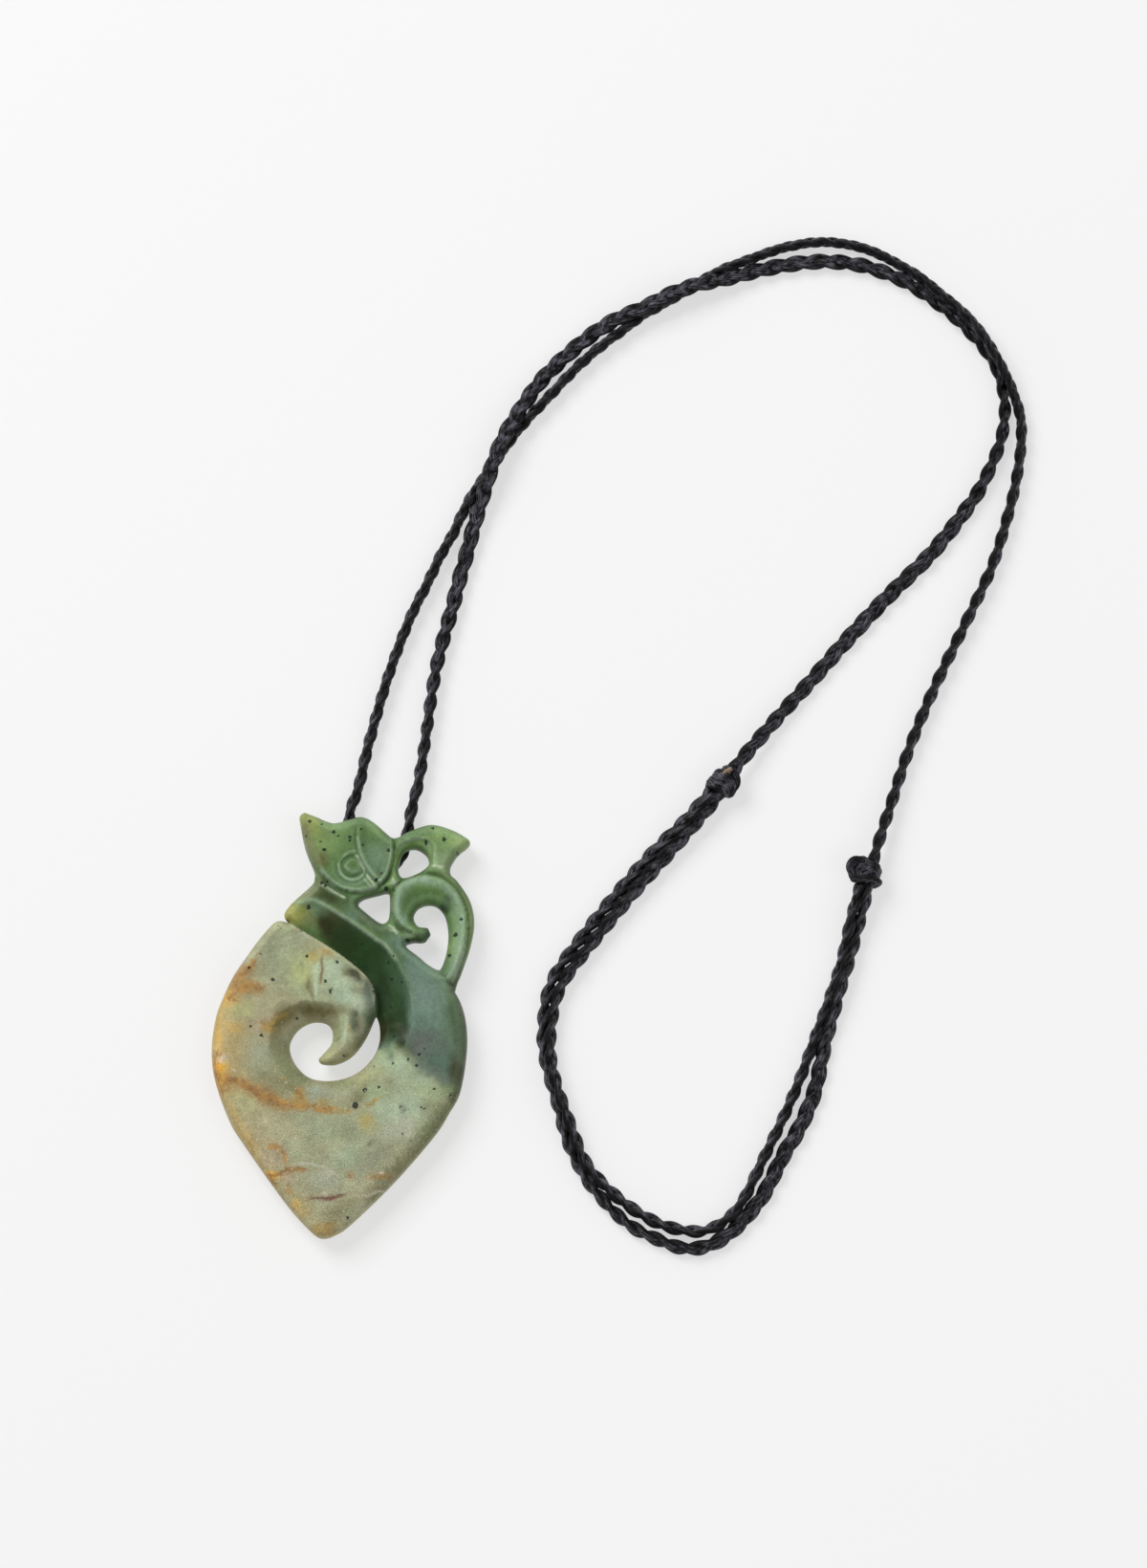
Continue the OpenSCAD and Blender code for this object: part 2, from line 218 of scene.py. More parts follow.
def smoothLine(points, steps, closed=False):
    pts = np.array(points, float)
    count = len(pts)
    out = []
    for i in range(count if closed else count - 1):
        if closed:
            a, b, c, d = (pts[(i + n) % count] for n in (-1, 0, 1, 2))
        else:
            a, b, c, d = pts[max(i - 1, 0)], pts[i], pts[i + 1], pts[min(i + 2, count - 1)]
        for s in range(steps):
            t = s / steps
            out.append(0.5 * (2 * b + (c - a) * t + (2 * a - 5 * b + 4 * c - d) * t * t
                              + (3 * b - a - 3 * c + d) * t ** 3))
    if not closed:
        out.append(pts[-1])
    return np.array(out)


def evenLine(line, step):
    lengths = np.concatenate([[0], np.cumsum(np.linalg.norm(np.diff(line, axis=0), axis=1))])
    places = np.linspace(0, lengths[-1], max(2, int(round(lengths[-1] / step)) + 1))
    return np.stack([np.interp(places, lengths, line[:, n]) for n in range(line.shape[1])], axis=1), places


# The cord: one route for each leg, as x, y and, where it is lifted, how high

cord = {
    "lie": 1.1,
    "width": 2.45,
    "ringStep": 0.36,
    "curveSteps": 12,
    "sides": 10,
    "strandRadius": 0.62,
    "strandSwing": 0.76,
    "strandLift": 0.35,
    "strandWide": 1.2,
    "strandFlat": 0.98,
    "pressSwing": 0.2,
    "pressLift": 0.5,
    "pressWidth": 0.15,
    "floorGap": 0.1,
    "period": 11.6,
}
knot = {
    "half": 2.48,
    "lead": 1,
    "height": 2.6,
    "runIn": 7,
    "endGap": 0.15,
    "upperAt": (66.2, 80.75),
    "upperTurn": 49,
    "upperSides": (0.1, -0.9, 0.5),
    "lowerAt": (91.45, 64.9),
    "lowerTurn": 75,
    "lowerSides": (-0.35, -0.75, 0.75),
}
bight = {"at": (5.9, 69.9), "radius": 4.85, "end": 0.1}
leftRoute = [
    (1.1, 75.4), (2.6, 80), (4.1, 86.7), (5.8, 93.1), (7.7, 99.6), (9.8, 105.6), (12, 111.1), (14.5, 116.1),
    (16.85, 121.2), (18.95, 124.9), (20.6, 128.5), (22.3, 131.8), (24.4, 135), (27, 138.8), (29.5, 142.4),
    (32.3, 145.8), (35.4, 149.1), (38.7, 152.7), (42, 156), (45.5, 159), (49, 161.6), (52.1, 164), (55.3, 165.8),
    (58.7, 167.8), (62.4, 170.1), (66.2, 172.2), (70.3, 173.8), (73.8, 175.1), (76.8, 176.1), (81.4, 177),
    (85.3, 177.1), (89.7, 176.4), (93.4, 175.1), (97.2, 173.1), (100.9, 170.8, 0.2), (104.3, 167.9, 0.5),
    (107.7, 165, 0.9), (110.3, 162.2, 1.4), (112.5, 159.1, 1.8), (114.4, 155.8, 1.7), (116.1, 152.5, 1),
    (117.4, 149.3, 0.3), (118.4, 145.7), (118.5, 142), (118.2, 138.5), (117.6, 134.7), (116.8, 131), (115.4, 125.9),
    (114, 121.3), (112.4, 117.2), (108.65, 109.3), (104.35, 100.4), (100.9, 92.6), (98, 85), (95.75, 77.9, 0.4),
]
leftReturn = [
    (89.4, 54.3, 0.3), (88.2, 49.8, 0.6), (86.6, 44.7, 0.7), (85.3, 40, 0.2), (84, 35.5), (83.1, 31.2), (82.2, 27),
    (80.8, 23.1), (79, 19.3), (76.9, 15.8), (75, 12), (73.1, 8.3), (70.8, 5.2), (68.1, 2.3), (65.2, 0.1),
    (62, -1.1), (58.4, -1), (54.9, 0.3), (50.9, 2.2), (47.7, 4.7), (44.9, 7.7), (42.4, 10.9), (40.3, 14.8),
    (38.7, 18.7), (37.65, 23), (36.5, 27), (35.4, 30.9), (34.8, 34.7), (34.85, 38.6), (35.35, 42.6), (36.45, 46),
    (38.3, 49.2), (43.4, 56), (49.2, 63.1), (54.2, 68.8),
]
rightRoute = [
    (11.9, 76.3), (13, 80.7), (13.9, 86.2), (14.7, 91.7), (15.5, 97.7), (16.45, 102.8), (17.65, 107.5), (19, 112.3),
    (20.1, 116.8), (21.4, 121.5, 0.1), (22.6, 126.1, 0.4), (23.6, 129.7, 0.9), (24.75, 133.3, 1.6),
    (26.1, 137.5, 2.2), (28, 142.1, 2.3), (30.8, 147, 1.6), (34.3, 152.2, 0.6), (37.9, 156, 0.2),
    (41.9, 159.5, 0.3), (45.9, 162.3, 0.8), (49.6, 164, 1.5), (53.1, 165.4, 2.1), (56.3, 167.1, 2.3),
    (59.2, 168.3, 2.3), (62.2, 169.3, 2.1), (64.6, 169.9, 1.6), (67.3, 170.6, 1), (70.3, 171.5, 0.4),
    (73.3, 172.3, 0.1), (76.8, 173), (81.1, 173.6), (85.6, 173.7), (90.8, 173), (95.5, 171.4), (99.2, 169.6),
    (102.9, 167.1), (106.4, 164.3), (109.2, 161.5), (111.8, 158.4), (113.9, 155.1), (115.2, 151.2), (115.65, 146.8),
    (114.95, 141.9), (113.25, 137.3), (111, 132.7), (108.4, 128.9), (105.3, 124.8), (102.1, 121), (98.4, 117.3),
    (94.2, 113.1), (88.2, 106.6), (81.6, 99), (74.8, 91.3, 0.4),
]
rightReturn = [
    (57, 68.7, 0.8), (51.7, 62.8, 0.6), (45.6, 55.4, 0.5), (40.2, 48.5, 0.5), (38.3, 45.6, 0.4), (37, 42.5, 0.4),
    (36.3, 38.6, 0.5), (36, 34.9, 0.7), (36.2, 31.6, 1.1), (36.8, 28.5, 1.7), (37.7, 25.4, 1.8), (38.9, 22.1, 1.4),
    (40.2, 18.6, 0.9), (41.5, 15.1, 0.7), (43.4, 12.1, 0.6), (45.9, 9.4, 0.5), (48.7, 6.9, 0.4), (51.8, 4.8, 0.2),
    (55.1, 3.1), (58.6, 2.1), (62, 1.8), (64.9, 2.7), (67.8, 4.9), (69.8, 7.7), (71.3, 10.7), (72.85, 14),
    (74.4, 17.2), (75.9, 20.3), (77.4, 23.6), (78.9, 27.1), (80.4, 31), (82.1, 35.7), (83.9, 40.6), (85.5, 45.2),
    (86.9, 49.8),
]


def besideKnot(at, turn, far, side):
    # the place this far along a knot and this far to its left
    c, s = math.cos(math.radians(turn)), math.sin(math.radians(turn))
    return at[0] + far * c - side * s, at[1] + far * s + side * c


def alongKnot(at, turn, far, side):
    return (*besideKnot(at, turn, far, side), knot["height"] - cord["lie"])


def throughKnot(at, turn, sides):
    return [alongKnot(at, turn, far * (knot["half"] + knot["lead"]), side) for far, side in zip((1, -1), sides)]


def tiedEnd(at, turn, sides):
    return [alongKnot(at, turn, -knot["half"] - back, sides[2]) for back in (knot["runIn"], knot["endGap"])]


def halfBight(way):
    x, y = bight["at"]
    r = bight["radius"]
    flat = [(x + way * step, y - r) for step in (bight["end"], 1)]
    return flat + [(x + way * r * math.sin(a), y - r * math.cos(a)) for a in (math.pi / 4, math.pi / 2)]


def routeOf(points):
    line = smoothLine([(x, y - cordMidY, sum(lifted) + cord["lie"]) for x, y, *lifted in points], cord["curveSteps"])
    return evenLine(line, cord["ringStep"])


upper, lower = (knot["upperAt"], knot["upperTurn"]), (knot["lowerAt"], knot["lowerTurn"])
upperSides, lowerSides = knot["upperSides"], knot["lowerSides"]
leftLine, leftPlaces = routeOf(
    halfBight(-1) + leftRoute + throughKnot(*lower, lowerSides) + leftReturn + tiedEnd(*upper, upperSides))
rightLine, rightPlaces = routeOf(
    halfBight(1) + rightRoute + throughKnot(*upper, upperSides) + rightReturn + tiedEnd(*lower, lowerSides))


def headings(line):
    ahead = np.gradient(line, axis=0)
    return ahead / np.linalg.norm(ahead, axis=1)[:, None]


def strandMesh(name, strands, cut=()):
    # each strand is (middle line, width direction, thickness direction, half width, half thickness, how high it lies)
    sides = cord["sides"]
    verts, faces, around, along, sunk, cutShare = [], [], [], [], [], []
    for number, (line, wide, thick, halfWide, halfThick, high) in enumerate(strands):
        start, rings = sum(len(v) for v in verts), len(line)
        angle = np.linspace(0, 2 * math.pi, sides, endpoint=False)
        ring = (line[:, None, :] + np.cos(angle)[None, :, None] * (wide * halfWide[:, None])[:, None, :]
                + np.sin(angle)[None, :, None] * (thick * halfThick[:, None])[:, None, :])
        verts.append(ring.reshape(-1, 3))
        i, n = np.meshgrid(np.arange(rings - 1), np.arange(sides), indexing="ij")
        a, b = start + i * sides + n, start + i * sides + (n + 1) % sides
        faces += np.stack([a, b, b + sides, a + sides], axis=-1).reshape(-1, 4).tolist()
        faces.append([start + n for n in range(sides - 1, -1, -1)])
        faces.append([start + (rings - 1) * sides + n for n in range(sides)])
        run = np.concatenate([[0], np.cumsum(np.linalg.norm(np.diff(line, axis=0), axis=1))])
        # how far each side of a strand lies under the others, darkened later as painted shade
        sunk.append((0.5 - 0.5 * high[:, None] * np.sin(angle)[None, :]).reshape(-1))
        cutShare.append(np.repeat((np.arange(rings) >= rings - 2) * float(number in cut), sides))
        around.append(np.tile(np.arange(sides) / sides, rings))
        along.append(np.repeat(run, sides))
    mesh = bpy.data.meshes.new(name)
    mesh.from_pydata((np.concatenate(verts) * mm).tolist(), [], faces)
    mesh.update()
    corner = np.zeros(len(mesh.loops), np.int32)
    mesh.loops.foreach_get("vertex_index", corner)
    u, v = np.concatenate(around)[corner], np.concatenate(along)[corner]
    starts = np.zeros(len(mesh.polygons), np.int32)
    mesh.polygons.foreach_get("loop_start", starts)
    sizes = np.zeros(len(mesh.polygons), np.int32)
    mesh.polygons.foreach_get("loop_total", sizes)
    low = np.repeat(np.minimum.reduceat(u, starts), sizes)
    high = np.repeat(np.maximum.reduceat(u, starts), sizes)
    u = np.where((high - low > 0.5) & (u < 0.5), u + 1, u)  # the quad that closes each ring
    uv = mesh.uv_layers.new(name="alongStrand")
    uv.data.foreach_set("uv", np.stack([u, v], axis=1).reshape(-1))
    for layer, values in (("sunk", sunk), ("cutShare", cutShare)):
        mesh.attributes.new(layer, "FLOAT", "POINT").data.foreach_set("value", np.concatenate(values))
    piece = bpy.data.objects.new(name, mesh)
    bpy.context.scene.collection.objects.link(piece)
    makeActive(piece)
    bpy.ops.object.shade_smooth()
    editAll(piece, lambda: bpy.ops.mesh.normals_make_consistent(inside=False))
    return piece


def leanAt(places, turnAt):
    # how far the plait's flat side leans over along the cord, in radians
    return np.radians(np.interp(places, [p for p, _ in turnAt], [t for _, t in turnAt]))


def restOnFloor(line, places, turnAt):
    # a plait that lies on its edge is taller than one that lies flat, so its middle is higher
    lean = leanAt(places, turnAt)
    flat = cord["strandLift"] + cord["strandRadius"]
    edge = cord["strandSwing"] + cord["strandRadius"]
    half = np.sqrt((flat * np.cos(lean)) ** 2 + (edge * np.sin(lean)) ** 2)
    line[:, 2] += half - cord["lie"] + cord["floorGap"]
    return line


def layLeaning(line, places, turnAt):
    # the plait's width and thickness directions along a cord that lies on the floor
    ahead = headings(line)
    level = np.cross(ahead, [0, 0, 1.0])
    level /= np.linalg.norm(level, axis=1)[:, None]
    top = np.cross(level, ahead)
    lean = leanAt(places, turnAt)[:, None]
    return level * np.cos(lean) + top * np.sin(lean), top * np.cos(lean) - level * np.sin(lean)


def plait(line, places, wide, thick, size=1.0, phase=0.0, press=0.0):
    # three strands that pass over and under each other, or lie pressed together where a knot is tight
    strands = []
    for n in range(3):
        wave = 2 * math.pi * (places / (cord["period"] * size) + n / 3) + phase
        swing = cord["strandSwing"] * size * (1 - cord["pressSwing"] * press) * np.sin(wave)
        lift = cord["strandLift"] * size * (1 - cord["pressLift"] * press) * np.sin(2 * wave)
        middle = line + wide * swing[:, None] + thick * lift[:, None]
        run = headings(middle)
        side = np.cross(run, thick)
        side /= np.linalg.norm(side, axis=1)[:, None]
        up = np.cross(side, run)
        half = np.full(len(line), cord["strandRadius"] * size * (1 + cord["pressWidth"] * press))
        strands.append((middle, side, up, half * cord["strandWide"], half * cord["strandFlat"], np.sin(2 * wave)))
    return strands


# how far the plait leans over, in degrees, at each place along its leg in mm
leftTurns = [
    (0, 70), (40, 78), (110, 72), (200, 80), (290, 75), (315, 55), (330, 15), (352, 25), (366, 60), (380, 70),
    (412, 68), (440, 50), (470, 45),
]
rightTurns = [
    (0, 70), (30, 72), (56, 20), (100, 8), (146, 15), (172, 40), (188, 72), (206, 62), (222, 25), (245, 20),
    (262, 50), (300, 50), (330, 68), (362, 62), (378, 55), (392, 72), (460, 75),
]
leftLine = restOnFloor(leftLine, leftPlaces, leftTurns)
rightLine = restOnFloor(rightLine, rightPlaces, rightTurns)
leftCord = strandMesh("leftPlait", plait(leftLine, leftPlaces, *layLeaning(leftLine, leftPlaces, leftTurns)))
rightCord = strandMesh("rightPlait", plait(
    rightLine, rightPlaces, *layLeaning(rightLine, rightPlaces, rightTurns), phase=1.1))

# The knots: turns of the same plait round the cord that passes through

knotTurns = {"size": 0.92, "raise": 0.1, "curveSteps": 10, "step": 0.3, "press": 1}
# along the knot, angle from the top towards its left side in degrees, and distance from its axis
upperWrap = [
    (-1.6, 205, 1.2), (-1.55, 150, 1.5), (-1.45, 95, 1.65), (-1.25, 45, 1.8), (-1, 0, 1.85), (-0.8, -45, 1.8),
    (-0.6, -95, 1.65), (-0.5, -150, 1.45), (-0.3, -200, 1.4), (-0.1, -250, 1.55), (0.1, -290, 1.75),
    (0.3, -330, 1.85), (0.4, -370, 1.85), (0.4, -420, 1.7), (0.3, -470, 1.4)]
# along the knot, to its left side, and up
upperEnd = [(1.5, 1.3, 2.6), (1.85, 1.1, 3.7), (1.75, 0.8, 4.6), (1.5, 0.3, 5)]
upperSide = [(1.7, 1, 3), (2.4, 0.2, 3.5), (2.2, -0.9, 3.7), (1.4, -1.6, 3.6), (0.4, -2, 3.3), (-0.5, -1.95, 2.8),
             (-1.2, -1.6, 2)]
lowerWrap = [
    (1.3, 190, 1.3), (1.3, 140, 1.5), (1.2, 95, 1.6), (1, 45, 1.75), (0.7, 0, 1.8), (0.4, -45, 1.75),
    (0.2, -95, 1.6), (-0.1, -150, 1.4), (-0.4, -200, 1.35), (-0.6, -250, 1.5), (-0.6, -290, 1.6), (-0.6, -335, 1.7),
    (-0.6, -380, 1.65), (-0.6, -430, 1.5),
]
lowerLoop = [
    (0.5, -1.1, 2.6), (1, -0.5, 3.5), (1.3, 0.5, 3.9), (1.35, 1.6, 4), (0.9, 2.65, 3.9), (0, 2.95, 3.6),
    (-0.9, 2.5, 3.4), (-1.6, 1.7, 3.2), (-1.8, 0.8, 3.2)]
lowerInner = [(0.5, -0.9, 4.2), (0.6, 0, 4.7), (0.3, 1, 4.7), (-0.4, 1.4, 4.4), (-1.2, 0.9, 4.2)]
lowerBand = [
    (-1.7, 1.6, 1.6), (-1.8, 1.4, 2.6), (-1.7, 0.8, 3.8), (-1.45, 0, 4.5), (-1.2, -0.8, 4.4), (-1.1, -1.45, 3.8),
    (-1.25, -1.75, 2.9), (-1.6, -1.6, 2.1), (-2, -1.2, 1.7)]


def knotPlace(at, turn, far, side, up):
    return (*besideKnot((at[0], at[1] - cordMidY), turn, far, side), up)


def wrapPiece(at, turn, points, phase, size=knotTurns["size"], flat=True):
    if points in (upperWrap, lowerWrap):
        up = knot["height"] + knotTurns["raise"]
        points = [(far, r * math.sin(math.radians(angle)), up + r * math.cos(math.radians(angle)))
                  for far, angle, r in points]
    line = smoothLine([knotPlace(at, turn, *point) for point in points], knotTurns["curveSteps"])
    line, places = evenLine(line, knotTurns["step"])
    centre = np.array(knotPlace(at, turn, 0, 0, knot["height"]))
    axis = np.array([math.cos(math.radians(turn)), math.sin(math.radians(turn)), 0])
    out = line - centre
    out -= (out @ axis)[:, None] * axis
    ahead = headings(line)
    out -= (out * ahead).sum(axis=1)[:, None] * ahead
    out /= np.linalg.norm(out, axis=1)[:, None]
    across = np.cross(ahead, out)
    wide, thick = (across, out) if flat else (out, across)
    return plait(line, places, wide, thick, size, phase, knotTurns["press"])


upperKnot = strandMesh(
    "upperKnotTurns",
    wrapPiece(*upper, upperWrap, 0.4) + wrapPiece(*upper, upperEnd, 0.2, 0.72)
    + wrapPiece(*upper, upperSide, 1.4, 0.74, False), cut=(3, 4, 5))
lowerKnot = strandMesh(
    "lowerKnotTurns",
    wrapPiece(*lower, lowerWrap, 0.9) + wrapPiece(*lower, lowerLoop, 0.2, 0.8, False)
    + wrapPiece(*lower, lowerInner, 0.7, 0.7) + wrapPiece(*lower, lowerBand, 1.4, 0.8, False))

cordFinish = {
    # the darkest colour: the gaps between fibres, and painted shade between and under the strands
    "groove": (0.0008, 0.0007, 0.001),
    "fibre": (0.114, 0.108, 0.133),
    "speck": (0.35, 0.35, 0.36),
    "cutEnd": (0.3, 0.22, 0.15),
    "roughness": 0.4,
    "specular": 0.15,
    "fibreStretch": (19, 0.6, 1),
    "patchScale": 700,
    "fibreBand": (0.41, 0.7),
    "strandSideShadeBand": (0.72, 0.98),
    "strandSideShadeShare": 0.9,
    "underCrossingShadeBand": (0.3, 0.85),
    "underCrossingShadeShare": 0.85,
    "speckScale": 2400,
    "speckBand": (0.76, 0.8),
    "fibreBump": (0.9, 0.0002),
}
cordBlack, tree, shader = newMaterial("blackWaxedPlait")
fibrePlace = tree.nodes.new("ShaderNodeUVMap")
fibrePlace.uv_map = "alongStrand"
longFibres = tree.nodes.new("ShaderNodeMapping")
setInputs(longFibres, {"Scale": cordFinish["fibreStretch"]})
tree.links.new(fibrePlace.outputs["UV"], longFibres.inputs["Vector"])
fibres = noiseOn(tree, longFibres.outputs["Vector"], 1, 3, 0.6)
objectPlace = tree.nodes.new("ShaderNodeTexCoord").outputs["Object"]
patchy = noiseOn(tree, objectPlace, cordFinish["patchScale"], 3)
litFibres = combine(tree, "MULTIPLY", fibres, combine(tree, "ADD", patchy, 0.5))
shown = mixColour(tree, spread(tree, litFibres, *cordFinish["fibreBand"]), cordFinish["groove"], cordFinish["fibre"])
roundStrand = tree.nodes.new("ShaderNodeSeparateXYZ")
tree.links.new(fibrePlace.outputs["UV"], roundStrand.inputs["Vector"])
aroundStrand = combine(tree, "MULTIPLY", roundStrand.outputs["X"], 2 * math.pi)
beside = combine(tree, "ABSOLUTE", combine(tree, "COSINE", aroundStrand, 0), 0)
# painted shade where a strand passes under its neighbours
shadeUnderCrossing = spread(
    tree, readValue(tree, "sunk").outputs["Fac"], *cordFinish["underCrossingShadeBand"], 0, cordFinish["underCrossingShadeShare"])
cutEnds = spread(tree, readValue(tree, "cutShare").outputs["Fac"], 0.6, 1)
pale = spread(tree, noiseOn(tree, objectPlace, cordFinish["speckScale"], 2), *cordFinish["speckBand"])
# painted shade in the crevices along the sides of each strand
strandSideShade = spread(tree, beside, *cordFinish["strandSideShadeBand"], 0, cordFinish["strandSideShadeShare"])
for share, hue in ((strandSideShade, "groove"), (shadeUnderCrossing, "groove"), (pale, "speck"), (cutEnds, "cutEnd")):
    shown = mixColour(tree, share, shown, cordFinish[hue])
tree.links.new(shown, shader.inputs["Base Color"])
setInputs(shader, {"Roughness": cordFinish["roughness"], "Specular IOR Level": cordFinish["specular"]})
bumpOn(tree, shader, fibres, *cordFinish["fibreBump"])
for piece, node in ((leftCord, "left_cord"), (rightCord, "right_cord"), (upperKnot, "upper_knot"),
                    (lowerKnot, "lower_knot")):
    piece.data.materials.append(cordBlack)
    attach(piece, "root")
    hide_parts(node)


def cordLength(line):
    return float(np.linalg.norm(np.diff(line, axis=0), axis=1).sum()) * mm


for piece, line, knotPiece in ((leftCord, leftLine, upperKnot), (rightCord, rightLine, lowerKnot)):
    say(f"{piece.name} is {cordLength(line):.3f} m long")

# The stone: outline and openings, as x and y from the middle of its foot

notch, waist, crestTip, earTip, slotTop = (-9.4, 55.4), (19.5, 43.3), (22.1, 69.3), (-6.8, 75), (5.8, 39.1)
bodyRun = [
    notch, (-10.8, 55.8), (-12.1, 55.4), (-14.5, 52.7), (-16.8, 49.5), (-19.05, 46.15), (-20.85, 42.35),
    (-22.1, 38.8), (-22.8, 33.2), (-22.2, 27.7), (-19.7, 20.65), (-17.1, 16.35), (-11.4, 8.2), (-8.4, 4.3),
    (-5.7, 1.4), (-4.2, 0.2), (-3, 0), (-1.4, 0.5), (1.45, 2.4), (9.05, 9.85), (16.05, 18.05), (18.6, 22.1),
    (20.15, 24.85), (20.95, 28), (21.5, 31.9), (21.65, 35.4), (21.25, 38.9), (20.4, 41.6), waist,
]
koruRun = [
    waist, (19.9, 44.8), (20.7, 46.75), (22.2, 51.3), (22.85, 55.5), (22.1, 59.35), (20, 62.7), (18.8, 63.9),
    (18.7, 65.2), (19.5, 66.75), (20.3, 67.7), (21.4, 68.55), crestTip]
crestRun = [
    crestTip, (22.05, 69.85), (21.5, 70.45), (19.1, 71.8), (15.4, 72.8), (11.9, 71.8), (10, 70.8), (9.1, 70.5),
    (8.2, 70.7), (5.6, 73), (3.9, 74), (2.3, 74.1), (-1.2, 73.1), (-2.9, 73.4), (-4.5, 74.1), earTip]
headRun = [
    earTip, (-7.6, 74.3), (-7.5, 72.9), (-6.6, 68.4), (-5.1, 64.6), (-5, 63.4), (-5.4, 62.2), (-8, 59.8),
    (-9.4, 58.4), (-10.2, 57.2), (-10.1, 56.2), notch]
eyeRight = [
    slotTop, (6.4, 37.1), (6.3, 34.3), (5.1, 31.6), (2.7, 29.2), (-0.4, 27.9), (-3.8, 27.7), (-6.4, 28.6),
    (-8.5, 31), (-9.2, 33.8), (-7.8, 36.5), (-5.3, 37.9), (-2.9, 37.7), (-1.8, 36.3), (-2, 34.2), (-3.5, 32.3),
    (-4.2, 31.4), (-3.5, 30.6), (-1, 30.6), (1.8, 32.1), (4.1, 35.2), slotTop]
windowRing = [
    (2.7, 58.6), (3.5, 59.6), (6.3, 60.4), (7.6, 60.7), (8.1, 60.1), (8, 56.6), (7.2, 55.4), (6, 55.7), (3.5, 57.7)]
crestRing = [
    (9.9, 66.2), (10.7, 67.8), (12.5, 68.5), (14.3, 67.5), (14.9, 65.9), (13.6, 64.6), (11.4, 63.6),
    (10.2, 63.5), (9.6, 64.7)]
curlRing = [
    (11, 51.3), (12.1, 52), (13.6, 52), (14.3, 52.15), (14.42, 52.25), (15.22, 53.35), (15.26, 53.5),
    (14.8, 54.55), (14.68, 54.66), (13.3, 54.8), (12.6, 55.4), (12.3, 56.5), (13, 57.9),
    (14.6, 58.6), (16.3, 58.3), (17.7, 56.6), (18.3, 53.6), (18, 50.3), (17.1, 47.6), (16.3, 47.3),
    (14.6, 48.3), (13.2, 49.5)]

# Carved lines on the face
lobeLine = [notch, (-6.3, 53.4), (-2.7, 51.2), (1.1, 48.5), (4.5, 45.4), (5.6, 42.7), slotTop]
slotEdge = [slotTop, (6.4, 37.1), (6.3, 34.3), (5.1, 31.6)]
ridgeLine = [
    (-7.7, 58.5), (-6.6, 58.8), (-5.3, 59), (-3.8, 58.5), (-2.1, 57.5), (1.6, 55.2), (5.3, 52.5), (7.4, 51),
    (9.1, 48.7), (10.1, 46.7), (11, 44.6), (11.8, 41.8), (12, 39.5), (11.8, 36.5), (10.9, 33)]
shankCorner = [(-9.4, 58.4), (-10.2, 57.2)]
funnelLine = [
    (0.5, 31.5), (0.3, 34.6), (-0.3, 37.4), (-1.3, 39.7), (-3.1, 41.2), (-6.3, 41.4), (-8.4, 40.9), (-11.1, 38.8),
    (-12.6, 35), (-12.8, 29.6), (-11.1, 26.4), (-7, 24),
]
cheekLine = [
    (-6.9, 71.5), (-6.7, 69.8), (-6.2, 67.8), (-5.2, 66.1), (-4.2, 64.5), (-2.8, 63), (-1.4, 61.8), (0.2, 61),
    (2.5, 60.7), (4.9, 61), (6.4, 62), (7.7, 63.6), (8.4, 66), (8.7, 68), (8.7, 70)]
koruLine = [
    (11.9, 53.7), (10.3, 54.4), (8.9, 56.5), (8.4, 58.5), (8.9, 60.5), (10, 62.1), (11.5, 63.1), (14.2, 63.6),
    (17.2, 62.9), (19.5, 61.1), (21, 58.4), (21.6, 55.3), (21.4, 51.8), (20.6, 48.6), (19.1, 44.6)]
neckRidge = [(-3.6, 61.6), (-3.1, 61.1), (-1.4, 60.1), (0.4, 59.3)]
leafLine = [
    (2.5, 74.6), (2.5, 70.1), (2.9, 67.7), (3.9, 65.4), (5.2, 63.6), (6.5, 62.4), (7.6, 63.9), (8.2, 66),
    (8.5, 68), (8.6, 72)]
browLine = [(1.9, 74), (2, 70.8), (2.3, 68.4), (2.9, 66.1), (3.8, 64.2), (4.9, 62.5), (5.7, 61.5)]
pupilRing = [(0.3, 65.3), (1.2, 66.4), (2.3, 67), (2.8, 65.7), (3.6, 64.5), (2.5, 64.2), (1.1, 64.4)]
collarLine = [
    (9.2, 66.8), (9.3, 68.3), (10, 69.2), (11.2, 69.7), (12.8, 70), (14.1, 69.9), (15.3, 69.2), (15.8, 67.7),
    (15.6, 65.4)]

stone = {
    "gridStep": 0.235,
    "rim": 3.2,
    "plain": 6.1,
    "ridge": 6.5,
    "dome": 0.4,
    "bodyRound": 3,
    "headRound": 1.5,
    "backRound": 0.7,
    "stepDepth": 2.7,
    "funnelDepth": 1.5,
    "cheekDepth": 1.3,
    "koruDepth": 1.5,
    "koruDish": 1.7,
    "rimRows": 1.4,
    "rimFirm": 0.6,
    "smoothBand": 1.2,
    "softEdge": 0.35,
    "firmEdge": 0.3,
    "funnelEdge": 0.8,
    "ridgeReach": 4,
    "cheekReach": 2.1,
    "koruReach": 1.7,
    "koruGroove": 0.52,
    "koruGrooveReach": 0.8,
    "koruRise": 0.1,
    "lobeRise": 0.1,
    "cheekRise": 0.17,
    "browGroove": 0.5,
    "browRise": 0.12,
    "browRiseLow": 0.2,
    "secondRise": 0.22,
    "leafRise": 0.16,
    "leafDish": 0.3,
    "eyeAt": (1.6, 65),
    "eyeRing": 2.3,
    "pupilRing": 1.75,
    "pupilRise": 0.26,
    "pupilGroove": 0.4,
    "eyeCrest": 0.16,
    "eyeGroove": 0.24,
    "eyeGrooveOut": 0.45,
    "neckRise": 0.6,
    "collarStep": 0.55,
    "collarRise": 0.14,
    "channelRadius": 2.4,
    "channelHeight": 2.6,
}

